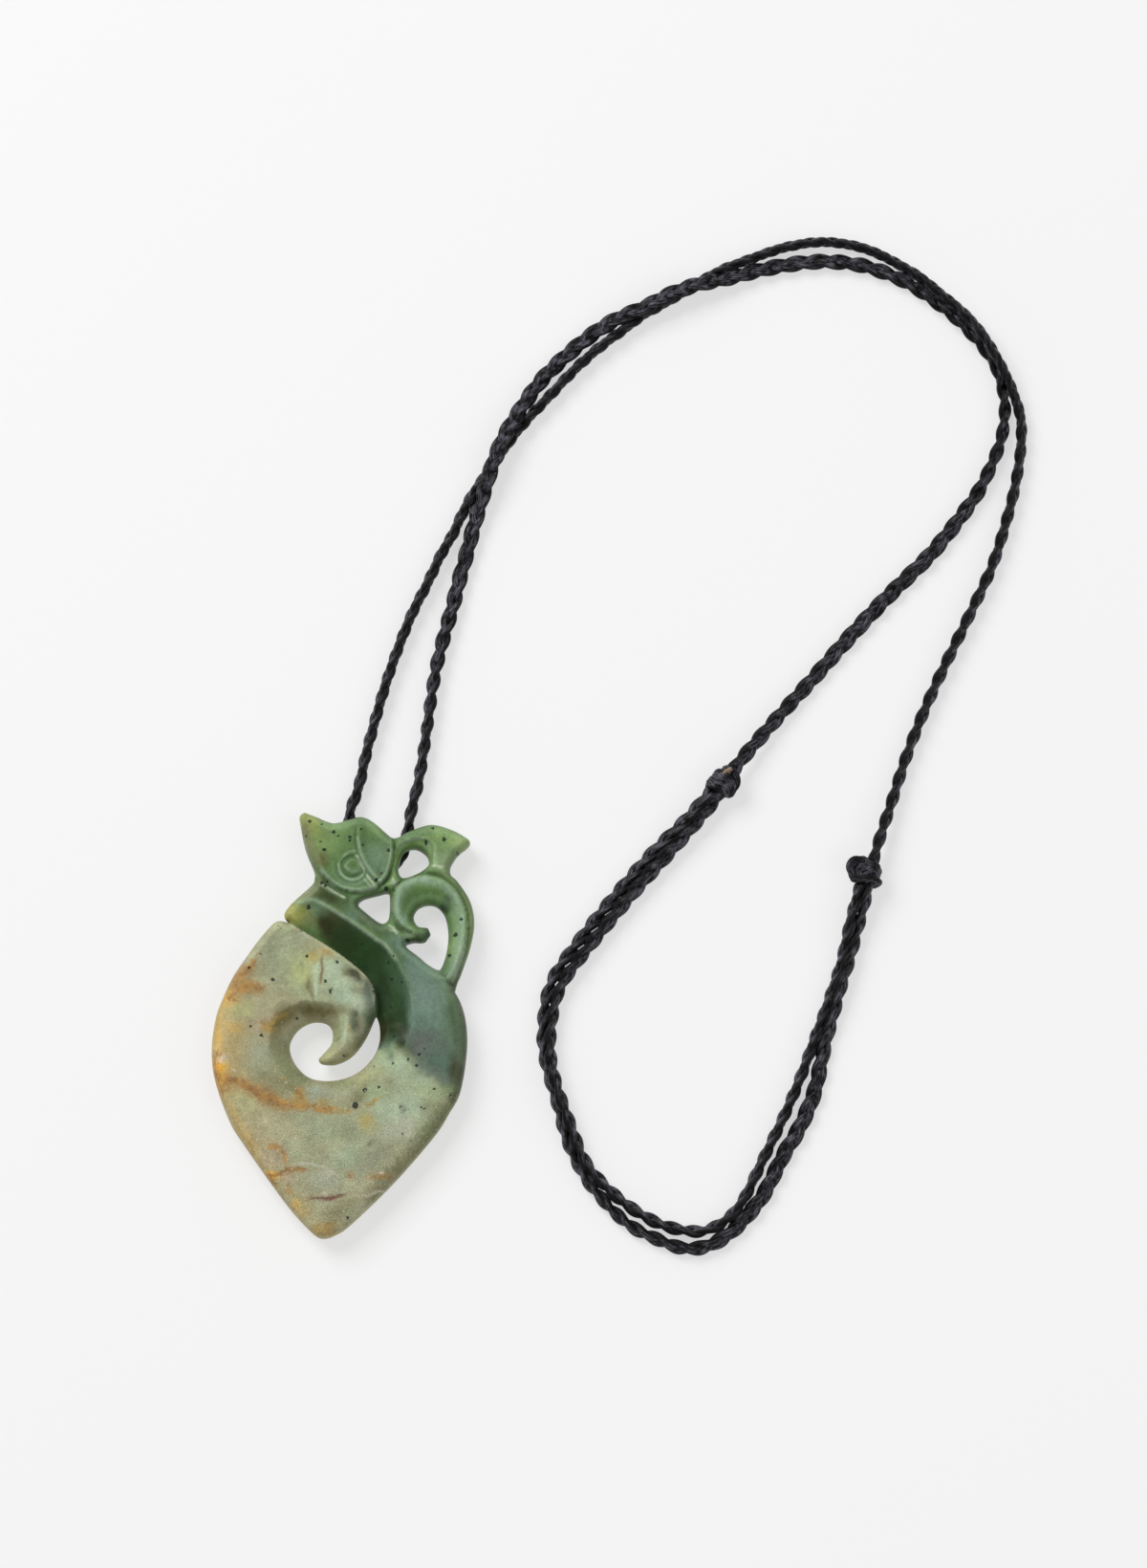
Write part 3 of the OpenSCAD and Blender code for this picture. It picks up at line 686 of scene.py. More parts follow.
fine = 8
outline = np.concatenate([smoothLine(run, fine)[:-1] for run in (bodyRun, koruRun, crestRun, headRun)])
eyeLoop = smoothLine(eyeRight, fine)[:-1]
curlLoop = smoothLine(curlRing, fine, closed=True)
crestLoop = smoothLine(crestRing, fine, closed=True)
openings = [eyeLoop, smoothLine(windowRing, fine, closed=True), crestLoop, curlLoop]


def gapTo(places, line, closed=False):
    # distance to a line, the nearest place on it, and which side of it: more than 0 to the left of its run
    points = np.vstack([line, line[:1]]) if closed else np.asarray(line, float)
    best = np.full(len(places), np.inf)
    near = np.zeros_like(places)
    side = np.zeros(len(places))
    for a, b in zip(points[:-1], points[1:]):
        run = b - a
        size = float(run @ run)
        if size < 1e-12:
            continue
        t = np.clip(((places - a) @ run) / size, 0, 1)
        foot = a + t[:, None] * run
        off = places - foot
        gap = np.einsum("ij,ij->i", off, off)
        closer = gap < best
        best = np.where(closer, gap, best)
        near[closer] = foot[closer]
        turn = run[0] * (places[:, 1] - a[1]) - run[1] * (places[:, 0] - a[0])
        side = np.where(closer, turn, side)
    return np.sqrt(best), near, np.sign(side)


def distanceTo(places, line, closed=False):
    return gapTo(places, line, closed)[0]


def within(places, loop):
    inside = np.zeros(len(places), bool)
    x, y = places[:, 0], places[:, 1]
    for a, b in zip(loop, np.roll(loop, -1, axis=0)):
        if a[1] == b[1]:
            continue
        crossed = (b[1] > y) != (a[1] > y)
        inside ^= crossed & (x < (a[0] - b[0]) * (y - b[1]) / (a[1] - b[1]) + b[0])
    return inside


def zone(places, loop, width):
    # 1 inside a closed zone, 0 outside, with a soft edge so that no step follows the grid
    gap = distanceTo(places, loop, closed=True)
    return ease(0.5 + np.where(within(places, loop), gap, -gap) / width)


def ease(t):
    u = np.clip(t, 0, 1)
    return u * u * (3 - 2 * u)


def quarterRound(t):
    return np.sqrt(1 - (1 - np.clip(t, 0, 1)) ** 2)


def cutBeside(gap, reach):
    return np.clip(1 - gap / reach, 0, 1) ** 2


def bump(gap, width):
    return np.exp(-(gap / width) ** 2)


def edgeGap(places):
    # distance to the nearest edge of the stone, and that place on the edge
    best, near = np.full(len(places), np.inf), np.zeros_like(places)
    for loop in [outline] + openings:
        gap, foot, _ = gapTo(places, loop, closed=True)
        closer = gap < best
        best = np.where(closer, gap, best)
        near[closer] = foot[closer]
    return best, near


def inStone(places):
    solid = within(places, outline)
    for loop in openings:
        solid &= ~within(places, loop)
    return solid


lobeCurve, ridgeCurve = smoothLine(lobeLine, fine), smoothLine(ridgeLine, fine)
innerCurve = np.vstack([lobeCurve, smoothLine(slotEdge, fine)])
slopeLoop = np.vstack([innerCurve, ridgeCurve[::-1], shankCorner])
funnelCurve, cheekCurve, koruCurve = (smoothLine(line, fine) for line in (funnelLine, cheekLine, koruLine))
funnelLoop = np.vstack([funnelCurve, [(-3, 30)]])
cheekLoop = np.vstack([cheekCurve, [(9, 80), (-9, 80)]])
koruLoop = np.vstack([koruCurve, [(17.6, 45.5), (14.2, 48.5), (12.5, 53)]])
leafCurve, browCurve, collarCurve = (smoothLine(line, fine) for line in (leafLine, browLine, collarLine))
leafLoop = np.vstack([leafCurve, [(9, 80), (2.5, 80)]])
collarLoop = np.vstack([collarCurve, [(12, 63)]])
secondLine = np.array([(3.9, 62.6), (4.4, 62), (4.9, 61.4)])


def faceHeight(places):
    x, y = places[:, 0], places[:, 1]
    ridgeGap = distanceTo(places, ridgeCurve)
    lobeGap = distanceTo(places, lobeCurve)
    innerGap = distanceTo(places, innerCurve)
    openGap = distanceTo(places, eyeLoop, closed=True)
    cheekGap = distanceTo(places, cheekCurve)
    koruGap = distanceTo(places, koruCurve)
    curlGap = distanceTo(places, curlLoop, closed=True)
    inCheek, inKoru = (zone(places, loop, stone["softEdge"]) for loop in (cheekLoop, koruLoop))
    inSlope, inFunnel = zone(places, slopeLoop, stone["firmEdge"]), zone(places, funnelLoop, stone["funnelEdge"])

    # plain faces: the domed body, the dish round its opening, the valleys beside the head and the koru
    plain = stone["plain"] + stone["dome"] * ease((44 - y) / 8)
    plain -= stone["cheekDepth"] * (1 - inCheek) * cutBeside(cheekGap, stone["cheekReach"])
    plain -= stone["koruDepth"] * (1 - inKoru) * cutBeside(koruGap, stone["koruReach"])
    rising = np.clip(1 - ridgeGap / stone["ridgeReach"], 0, 1) * (1 - inSlope) * ease((y - 31) / 8)
    plain += (stone["ridge"] - stone["plain"]) * rising
    rise = distanceTo(places, funnelCurve)
    dish = inFunnel * ease((y - 25) / 9) * (1 - 0.55 * ease((x + 4) / 3)) * (rise / (openGap + rise + 0.01)) ** 0.9
    plain -= stone["funnelDepth"] * dish
    plain += stone["lobeRise"] * bump(lobeGap - 0.25, 0.3) * (1 - inSlope)

    # the shank's inner side falls from its ridge to the foot of the lobe
    fade = ease((y - 32.4) / 5.6)
    fall = 1 - innerGap / (innerGap + ridgeGap + 0.01)
    slope = stone["ridge"] - stone["stepDepth"] * fade * fall ** 0.75
    slope = plain + (slope - plain) * ease((y - 31) / 6)

    # the koru's band has its crest near the outer edge and dishes to the open centre
    share = curlGap / (curlGap + koruGap + 0.01)
    koru = stone["ridge"] + stone["koruRise"] - stone["koruDish"] * (1 - share) ** 1.1
    koru -= stone["koruGroove"] * cutBeside(koruGap, stone["koruGrooveReach"])

    height = plain * (1 - inKoru) + koru * inKoru
    height = height * (1 - inSlope) + slope * inSlope

    # the head: a raised line along the cheek, the brow groove, the leaf, the eye with its pupil
    height += stone["cheekRise"] * inCheek * bump(cheekGap - 0.25, 0.22) * ease((72 - y) / 4)
    leafGap = distanceTo(places, leafCurve)
    browGap, _, browSide = gapTo(places, browCurve)
    leaf = zone(places, leafLoop, stone["firmEdge"])
    lower = ease((73.2 - y) / 4)
    height -= stone["browGroove"] * lower * inCheek * (1 - leaf) * bump(leafGap - 0.3, 0.26)
    browRise = stone["browRise"] + stone["browRiseLow"] * ease((65 - y) / 2)
    height += browRise * lower * inCheek * bump(browGap, 0.2) * (1 - leaf)
    leafEdge = stone["leafRise"] * bump(leafGap - 0.15, 0.2) - stone["leafDish"] * (1 - bump(leafGap, 0.8))
    height += lower * leaf * leafEdge
    secondGap = distanceTo(places, secondLine)
    height += stone["secondRise"] * bump(secondGap, 0.2)
    eyeX, eyeY = stone["eyeAt"]
    eyeGap = np.hypot((x - eyeX) * 0.97, y - eyeY)
    beyond = ease(0.5 - browSide * browGap / 0.4)  # 1 on the eye's side of the brow
    ringOpens = bump(np.hypot(x - 3.6, y - 66.9), 1.1)
    eye = beyond * (1 - leaf) * (1 - ringOpens)
    lowerHalf = ease((66.4 - y) / 1.6)
    height -= eye * (
        stone["eyeGroove"] * bump(eyeGap - stone["eyeRing"] - stone["eyeGrooveOut"], 0.24) * lowerHalf
        - stone["eyeCrest"] * bump(eyeGap - stone["eyeRing"], 0.2) * lowerHalf
        + stone["pupilGroove"] * bump(eyeGap - stone["pupilRing"], 0.3))
    pupil = zone(places, smoothLine(pupilRing, 4, closed=True), stone["firmEdge"])
    height += stone["pupilRise"] * pupil * beyond

    # neck ridge, and the collar round the crest's opening
    neckGap = distanceTo(places, smoothLine(neckRidge, fine))
    height += stone["neckRise"] * bump(neckGap, 0.28)
    collar = zone(places, collarLoop, stone["softEdge"])
    collarGap = distanceTo(places, collarCurve)
    height -= stone["collarStep"] * collar * (1 - inKoru)
    height += stone["collarRise"] * (1 - collar) * bump(collarGap - 0.15, 0.18) * (1 - inKoru)
    return height


def roundingAt(y):
    return stone["headRound"] + (stone["bodyRound"] - stone["headRound"]) * ease((50 - y) / 12)


def frontHeight(places, depth):
    return stone["rim"] + (faceHeight(places) - stone["rim"]) * quarterRound(depth / roundingAt(places[:, 1]))


def backHeight(places, depth):
    plain = stone["rim"] * (1 - quarterRound(depth / (stone["backRound"] * roundingAt(places[:, 1]))))
    x, y = bight["at"]
    r = bight["radius"]
    arc = [(x + r * math.cos(a), y + r * math.sin(a)) for a in np.linspace(0, -math.pi, 24)]
    route = np.array([(x + r, y + 9)] + arc + [(x - r, y + 9)])
    gap = distanceTo(places, route)
    deep = stone["channelHeight"] * quarterRound(1 - gap / stone["channelRadius"])  # the cord's channel
    return np.maximum(plain, np.minimum(deep, stone["rim"] - 0.1 * (depth > 0)))


def coordinates(mesh):
    flat = np.zeros(len(mesh.vertices) * 3)
    mesh.vertices.foreach_get("co", flat)
    return flat.reshape(-1, 3)


def stonePlaces(mesh):
    return coordinates(mesh)[:, :2] / mm + [0, midY]


def placeVertices(mesh, places, heights):
    flat = np.column_stack([places[:, 0], places[:, 1] - midY, heights]) * mm
    mesh.vertices.foreach_set("co", flat.reshape(-1))
    mesh.update()


def edgeVertices(mesh):
    # vertices on the mesh's open border
    loops = np.zeros(len(mesh.loops), np.int64)
    mesh.loops.foreach_get("edge_index", loops)
    used = np.bincount(loops, minlength=len(mesh.edges))
    ends = np.zeros(len(mesh.edges) * 2, np.int64)
    mesh.edges.foreach_get("vertices", ends)
    border = np.zeros(len(mesh.vertices), bool)
    border[ends.reshape(-1, 2)[used == 1].reshape(-1)] = True
    return border


def editFaces(mesh, chosen, edit):
    bpy.ops.object.mode_set(mode="EDIT")
    bpy.ops.mesh.select_mode(type="FACE")
    bpy.ops.object.mode_set(mode="OBJECT")
    mesh.polygons.foreach_set("select", chosen)
    bpy.ops.object.mode_set(mode="EDIT")
    edit()
    bpy.ops.mesh.select_mode(type="VERT")
    bpy.ops.object.mode_set(mode="OBJECT")


def deleteFaces(mesh, chosen):
    editFaces(mesh, chosen, lambda: bpy.ops.mesh.delete(type="FACE"))


def borderPoints(mesh):
    # how many points of each face lie on the border
    border = edgeVertices(mesh)
    return np.array([border[list(face.vertices)].sum() for face in mesh.polygons])


# a fine grid is cut back to the outline, its border is drawn on to the edge, and its rows are evened
low, high = (-23.2, -0.5), (23.2, 75.5)
wide, tall = high[0] - low[0], high[1] - low[1]
deselectAll()
bpy.ops.mesh.primitive_grid_add(
    x_subdivisions=int(wide / stone["gridStep"]), y_subdivisions=int(tall / stone["gridStep"]), size=1,
    location=((low[0] + high[0]) / 2 * mm, ((low[1] + high[1]) / 2 - midY) * mm, 0))
pendant = bpy.context.object
pendant.name = pendant.data.name = "greenstoneHook"
pendant.scale = (wide * mm, tall * mm, 1)
applyPlace(pendant)
mesh = pendant.data
centres = np.zeros(len(mesh.polygons) * 3)
mesh.polygons.foreach_get("center", centres)
deleteFaces(mesh, ~inStone(centres.reshape(-1, 3)[:, :2] / mm + [0, midY]))
deleteFaces(mesh, borderPoints(mesh) == 4)  # they would lie flat in the rim
editFaces(mesh, borderPoints(mesh) == 3, bpy.ops.mesh.poke)  # half of each would
places = stonePlaces(mesh)
border = edgeVertices(mesh)
depth, near = edgeGap(places)
places[border] = near[border]
placeVertices(mesh, places, np.zeros(len(places)))
mesh.vertices.foreach_set("select", ~border & (depth < stone["smoothBand"]))
mesh.edges.foreach_set("select", np.zeros(len(mesh.edges), bool))
mesh.polygons.foreach_set("select", np.zeros(len(mesh.polygons), bool))
bpy.ops.object.mode_set(mode="EDIT")
bpy.ops.mesh.vertices_smooth(factor=0.5, repeat=4)
bpy.ops.object.mode_set(mode="OBJECT")
places = stonePlaces(mesh)
depth, near = edgeGap(places)
depth[border] = 0
squeeze = np.clip(depth / stone["rimRows"], 0, 1) ** stone["rimFirm"]  # rows close up towards the rim, where it turns
places = near + (places - near) * squeeze[:, None]
depth = depth * squeeze
say(f"the stone's net has {len(places)} points")

# the back is a copy of the net, turned over, and both meet in the rim
backNet = pendant.copy()
backNet.data = mesh.copy()
bpy.context.scene.collection.objects.link(backNet)
placeVertices(mesh, places, frontHeight(places, depth))
placeVertices(backNet.data, places, backHeight(places, depth))
editAll(backNet, bpy.ops.mesh.flip_normals)
makeActive(pendant)
backNet.select_set(True)
bpy.ops.object.join()


def mergeNets():
    bpy.ops.mesh.remove_doubles(threshold=0.000002)
    bpy.ops.mesh.select_all(action="DESELECT")
    bpy.ops.mesh.select_non_manifold()  # the few rim points whose heights differ
    bpy.ops.mesh.remove_doubles(threshold=0.0001)


editAll(pendant, mergeNets)
bpy.ops.object.shade_smooth()
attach(pendant, "root")
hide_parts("pendant")
say(f"the stone has {len(pendant.data.polygons)} faces and {int(edgeVertices(pendant.data).sum())} open points")

# Colours of the stone, painted on its points: patches first, then stains, specks and cracks, with painted shade,
# painted highlights and a painted glow at the rim


def cloud(places, size, seed, layers=3):
    # smooth noise from 0 to 1
    total, share = np.zeros(len(places)), 0.0
    for n in range(layers):
        table = np.random.default_rng(seed + n).random((64, 64))
        q = places / (size / 2 ** n) + 7.3
        i = np.floor(q).astype(int)
        f = ease(q - i)
        i0, i1 = i % 64, (i + 1) % 64
        row0 = table[i0[:, 0], i0[:, 1]] * (1 - f[:, 0]) + table[i1[:, 0], i0[:, 1]] * f[:, 0]
        row1 = table[i0[:, 0], i1[:, 1]] * (1 - f[:, 0]) + table[i1[:, 0], i1[:, 1]] * f[:, 0]
        total += (row0 * (1 - f[:, 1]) + row1 * f[:, 1]) * 0.55 ** n
        share += 0.55 ** n
    return total / share


hues = {
    "oliveGrey": (0.34, 0.33, 0.2),
    "greyGreen": (0.285, 0.33, 0.21),
    "coolGrey": (0.3, 0.335, 0.25),
    "milk": (0.37, 0.465, 0.315),
    "milkYellow": (0.4, 0.43, 0.2),
    "paleGreen": (0.325, 0.395, 0.225),
    "yellow": (0.42, 0.34, 0.11),
    "tan": (0.42, 0.31, 0.12),
    "cream": (0.5, 0.36, 0.16),
    "oliveShade": (0.11, 0.115, 0.05),
    "oliveDark": (0.075, 0.068, 0.02),
    "oliveMid": (0.17, 0.16, 0.07),
    "olive": (0.17, 0.2, 0.09),
    "purple": (0.06, 0.066, 0.045),
    "footBrown": (0.36, 0.245, 0.08),
    "pinkTan": (0.43, 0.33, 0.23),
    "jade": (0.1, 0.175, 0.062),
    "jadeBright": (0.13, 0.225, 0.06),
    "jadeLight": (0.225, 0.335, 0.13),
    "jadeMilk": (0.15, 0.235, 0.14),
    "jadePale": (0.25, 0.34, 0.21),
    "tipYellow": (0.33, 0.35, 0.09),
    "cornerYellow": (0.4, 0.38, 0.12),
    "shankBlack": (0.018, 0.038, 0.012),
    "shankDeep": (0.017, 0.046, 0.013),
    "shankGreen": (0.05, 0.1, 0.045),
    # blue-grey green stone with a painted satin reflection, for the side right of the shank's ridge
    "blueGreenSheen": (0.125, 0.19, 0.145),
    "paleBlueGreenSheen": (0.165, 0.235, 0.185),
    "edgeGreen": (0.055, 0.095, 0.05),
    # painted highlight on the jade's crests
    "crestHighlight": (0.26, 0.36, 0.25),
    "brown": (0.07, 0.066, 0.022),
    "brownBlack": (0.028, 0.026, 0.009),
    "rustBrown": (0.35, 0.22, 0.085),
    "golden": (0.62, 0.38, 0.08),
    "goldenDark": (0.36, 0.26, 0.07),
    # painted glints
    "pinkGlint": (0.6, 0.5, 0.38),
    "sheen": (0.36, 0.46, 0.33),
    "koruSheen": (0.31, 0.42, 0.33),
    "glint": (0.55, 0.62, 0.47),
    "finGrey": (0.2, 0.25, 0.2),
    "finPurple": (0.125, 0.13, 0.115),
    # painted shade in the funnel
    "funnelShadeBrown": (0.11, 0.09, 0.024),
    "wedge": (0.022, 0.032, 0.008),
    "crestLight": (0.27, 0.37, 0.14),
    "goldenOlive": (0.2, 0.15, 0.045),
    "midGrey": (0.21, 0.245, 0.175),
    "lobeShade": (0.072, 0.076, 0.045),
    "tanGrey": (0.41, 0.365, 0.22),
    "koruDeep": (0.08, 0.15, 0.05),
    "tongue": (0.06, 0.09, 0.032),
    "paleWarm": (0.45, 0.41, 0.24),
    "lowPale": (0.38, 0.39, 0.29),
    "finDeep": (0.095, 0.15, 0.11),
    "finSlate": (0.12, 0.16, 0.125),
    "amber": (0.78, 0.42, 0.05),
    "goldenTan": (0.43, 0.31, 0.11),
    "milkBright": (0.45, 0.53, 0.38),
    "streakPale": (0.39, 0.43, 0.29),
    "dullGrey": (0.25, 0.265, 0.175),
    "neckPale": (0.22, 0.22, 0.11),
    "coolPale": (0.29, 0.36, 0.26),
    "vein": (0.115, 0.092, 0.028),
}
# x, y, half width, half height, turn in degrees, how firm its edge is, how strong it is, hue
bodyPatches = [
    (-20, 36, 5, 17, 8, 1, 0.75, "tan"), (-22, 34, 1.8, 12, 0, 1, 0.6, "cream"), (-16, 14, 3, 8, 36, 1, 0.6, "tan"),
    (-9, 48.5, 6.5, 5, -35, 1.3, 0.7, "greyGreen"), (-15.5, 39, 3.5, 4.5, 0, 1, 0.5, "oliveGrey"),
    (-13.7, 30.6, 3, 4.5, 0, 1, 0.6, "greyGreen"), (-16.7, 32.6, 2.2, 1.6, 0, 1, 0.5, "tan"),
    (-13.4, 37.1, 2.4, 2, 20, 1, 0.5, "pinkTan"), (-5.6, 47, 3.6, 3.4, 40, 1.2, 0.9, "milkYellow"),
    (-2.2, 47.3, 2.6, 2.4, -30, 1.2, 0.75, "milk"), (0.2, 43.2, 4.4, 3.2, -30, 1.2, 0.9, "milk"),
    (4, 40.6, 1.2, 1.8, 0, 1.4, 0.55, "finGrey"), (-6.4, 43.3, 2.4, 1.8, 0, 1.2, 0.5, "paleGreen"),
    (2, 46, 1.7, 0.8, -38, 1.5, 1.25, "lobeShade"), (0.2, 46.3, 1, 0.5, -15, 1.3, 0.7, "oliveMid"),
    (4.6, 43.6, 1.1, 2.4, 8, 1.4, 0.75, "purple"), (2.2, 38.5, 1.2, 2.3, 4, 1.8, 1, "purple"),
    (5, 38.4, 1.2, 3.6, -8, 1.4, 0.9, "edgeGreen"), (3.2, 34.6, 1, 1.6, -20, 1.4, 0.6, "purple"),
    (2.3, 43.4, 1.2, 0.9, -20, 1.4, 0.6, "oliveMid"), (16.8, 29, 2.6, 1.2, -30, 1.6, 0.7, "olive"),
    (19.3, 27.4, 2.2, 2.8, 0, 1.8, 1.3, "brownBlack"), (15.2, 22.6, 2.2, 2, -40, 1.4, 0.6, "oliveMid"),
    (13.8, 28.6, 3, 1.7, 0, 1.1, 0.6, "finGrey"), (-12.4, 26.6, 3, 3, -40, 1.2, 0.55, "oliveMid"),
    (3.4, 33.9, 1.7, 1.5, 30, 1.4, 0.6, "olive"), (0.1, 37.2, 1.6, 3.2, -12, 1.3, 0.8, "paleGreen"),
    (-1.2, 34.4, 1, 2.2, -5, 1.2, 0.5, "milkYellow"), (-2.3, 31, 1.6, 1, 20, 1.3, 0.5, "milkYellow"),
    # the brown and dark olive patches under the funnel's upper rim are painted shade
    (0.9, 31.8, 0.5, 0.4, 0, 1.4, 0.6, "oliveMid"), (-4.6, 39.8, 5.2, 1.3, 2, 1.3, 0.85, "funnelShadeBrown"),
    (-5.4, 40.1, 2.2, 0.8, 4, 1.3, 0.5, "oliveDark"), (-10, 38.3, 2.4, 1.6, 40, 1.4, 0.95, "funnelShadeBrown"),
    (-11.3, 37.2, 2.2, 1.2, 50, 1.4, 0.85, "goldenOlive"), (-11, 33.5, 1.6, 3.4, 0, 1.2, 0.5, "oliveMid"),
    (-10, 29.6, 1.5, 3.2, 15, 1.3, 0.7, "olive"), (-7.4, 27.2, 3, 1.4, -35, 1.3, 0.7, "olive"),
    (-4.8, 25.2, 3, 1.2, -6, 1.5, 0.8, "coolGrey"), (0.6, 26.3, 3.4, 1.2, 8, 1.4, 0.7, "olive"),
    (7.6, 31.4, 2, 3.6, -25, 1.2, 0.85, "paleGreen"), (9.8, 29.4, 3, 3, 0, 1.3, 0.8, "milk"),
    (13.8, 27.4, 4.2, 2.8, 0, 1.3, 0.75, "paleGreen"), (10, 22.4, 5.4, 3.4, 15, 1.3, 0.85, "milk"),
    (5, 24.6, 3.2, 1.8, 15, 1.2, 0.7, "paleGreen"), (3.9, 20.4, 1.2, 1.2, 0, 1.3, 0.45, "yellow"),
    (9.4, 18.4, 3.6, 2.2, 20, 1.3, 0.8, "lowPale"), (15.6, 24.6, 2.6, 1.8, -20, 1.3, 0.85, "paleGreen"),
    (5.2, 19.2, 1.2, 1.8, 20, 1.2, 0.5, "yellow"), (-2, 18, 8, 4.6, 0, 1.2, 0.7, "greyGreen"),
    (5.2, 13.1, 4, 2, 35, 1.2, 0.7, "dullGrey"), (16.6, 20.4, 1.5, 6, -50, 1.3, 0.65, "olive"),
    (10.4, 13.2, 1, 7, -44, 1.3, 0.5, "oliveMid"), (-12.4, 14.2, 2.2, 2, 0, 1.3, 0.6, "pinkTan"),
    (-6, 8.4, 5, 3, -20, 1.2, 0.45, "oliveGrey"), (-3, 10, 2.8, 1.5, 0, 1.2, 0.7, "lowPale"),
    (-6.6, 4.6, 2.2, 2.6, 30, 1.2, 0.6, "tan"), (-3.4, 1.1, 2.6, 1.5, 0, 1.6, 0.85, "footBrown"),
    (-0.5, 4.4, 2.6, 1.5, 35, 1.2, 0.5, "oliveMid"), (-5.2, 49.3, 1, 0.9, 0, 1.5, 0.85, "yellow"),
    (-3.1, 50, 1.4, 0.9, -35, 1.5, 0.7, "footBrown"), (-10.5, 53.8, 1.6, 1.2, 0, 1.4, 0.5, "paleGreen"),
    (-5.6, 44, 0.6, 1.6, 8, 1.3, 0.6, "oliveMid"), (19.6, 24.6, 0.7, 2.5, -8, 1.5, 0.7, "edgeGreen"),
    (-19.4, 44.2, 3.2, 1.7, 40, 1.4, 0.85, "rustBrown"), (-16.4, 43.6, 2.3, 0.9, -15, 1.4, 0.75, "rustBrown"),
    (-18.2, 46.8, 0.9, 2.1, -18, 1.3, 0.65, "rustBrown"), (-20.2, 41.6, 1.2, 2, 20, 1.3, 0.6, "golden"),
    (-17, 48.6, 0.7, 1.4, -30, 1.3, 0.6, "coolGrey"), (-17.6, 39.6, 2.4, 1.4, 20, 1.3, 0.6, "milkYellow"),
    (-18.8, 36.2, 1.8, 1, -10, 1.3, 0.5, "golden"), (-15.4, 32, 2.6, 2, -20, 1.2, 0.6, "coolGrey"),
    (-21.6, 28.6, 1.5, 2.6, 15, 1.6, 0.9, "golden"), (-20.2, 26.4, 2, 1.3, -20, 1.4, 0.85, "rustBrown"),
    # the pale pink patch at the left edge is a painted highlight
    (-21.2, 31.2, 1.1, 0.8, 0, 1.4, 0.7, "pinkGlint"), (-14.6, 25, 3.4, 1.3, -24, 1.4, 0.85, "rustBrown"),
    (-10.9, 23, 2.6, 1.2, -14, 1.4, 0.8, "rustBrown"), (-6.4, 22.6, 3, 0.8, -4, 1.4, 0.7, "rustBrown"),
    (-7.4, 24.6, 1.4, 1.6, -25, 1.5, 0.85, "goldenDark"), (-3.2, 23.2, 1.5, 0.7, -12, 1.3, 0.6, "goldenDark"),
    (-1.2, 22, 2.6, 0.5, -4, 1.3, 0.5, "goldenDark"), (-16.6, 22.6, 2.6, 1.6, -30, 1.2, 0.5, "milkYellow"),
    (-12.6, 10.8, 1.4, 0.9, -10, 1.6, 0.9, "golden"), (-10.8, 15, 2.2, 0.8, -35, 1.4, 0.4, "rustBrown"),
    (-9.4, 8, 1.1, 0.9, -40, 1.3, 0.65, "rustBrown"), (-7.9, 5.7, 0.9, 0.7, 0, 1.3, 0.6, "golden"),
    (6.8, 10.5, 2.3, 0.6, 5, 1.5, 0.7, "rustBrown"), (0.6, 13.6, 3, 2.2, 20, 1.2, 0.5, "milk"),
    (2.6, 24.4, 1.6, 1, 30, 1.4, 0.6, "oliveMid"), (9.2, 27.6, 1.6, 0.8, 60, 1.3, 0.4, "coolGrey"),
    (4.6, 27.6, 2.4, 1.2, 35, 1.2, 0.6, "milkYellow"), (10.4, 22, 1.1, 0.8, 0, 1.5, 0.5, "coolGrey"),
    (8.3, 31.5, 0.45, 0.9, 0, 1.3, 0.4, "edgeGreen"), (14.7, 28.5, 0.8, 0.45, 15, 1.5, 0.6, "purple"),
    (16.1, 29, 0.5, 0.4, 0, 1.4, 0.6, "milkYellow"), (8, 27.1, 1, 0.5, 25, 1.4, 0.4, "oliveMid"),
    (10, 22.7, 0.4, 0.45, 0, 1.3, 0.45, "purple"), (10.2, 21.9, 0.6, 0.4, 0, 1.3, 0.4, "purple"),
    (14.2, 22.2, 0.8, 0.5, 0, 1.4, 0.35, "purple"), (4.3, 26.7, 1.2, 0.6, 50, 1.3, 0.4, "oliveMid"),
    (19.9, 24.2, 0.4, 0.8, -25, 1.6, 0.5, "brownBlack"), (16.2, 28.6, 2.6, 1.2, -20, 1.5, 0.7, "midGrey"),
    (5.2, 23.7, 2, 0.3, 20, 1.5, 0.8, "goldenDark"), (4.1, 20, 1.1, 1.5, 10, 1.2, 0.5, "yellow"),
    (1.6, 10.4, 0.6, 1, 30, 1.4, 0.3, "rustBrown"), (5.4, 7.1, 1.3, 0.5, 38, 1.4, 0.5, "oliveMid"),
    (4.8, 16.1, 0.6, 0.4, 30, 1.3, 0.5, "purple"), (-15.4, 19, 3.2, 4.4, 25, 1.2, 0.65, "tanGrey"),
    (-11.6, 13.6, 2, 1.6, 0, 1.2, 0.5, "tanGrey"), (-9.8, 18.9, 3.4, 2.2, -20, 1.2, 0.55, "paleWarm"),
    (-3.2, 15.5, 3, 1.8, 0, 1.2, 0.35, "paleWarm"), (-9.8, 10.4, 1.6, 1, 0, 1.3, 0.6, "pinkTan"),
    (13.5, 27.6, 2, 1.2, 0, 1.3, 0.55, "coolPale"), (-21.9, 36, 0.9, 4, 2, 1.4, 0.5, "golden"),
    (-5.9, 44.2, 0.45, 1.7, 14, 1.5, 0.85, "oliveMid"), (-4.9, 41.8, 0.45, 1.3, 24, 1.5, 0.8, "oliveMid"),
    (-6.8, 47.8, 0.35, 0.8, 25, 1.5, 0.5, "oliveMid"), (-7.3, 46.3, 1.5, 1.6, 20, 1.4, 0.8, "milkYellow"),
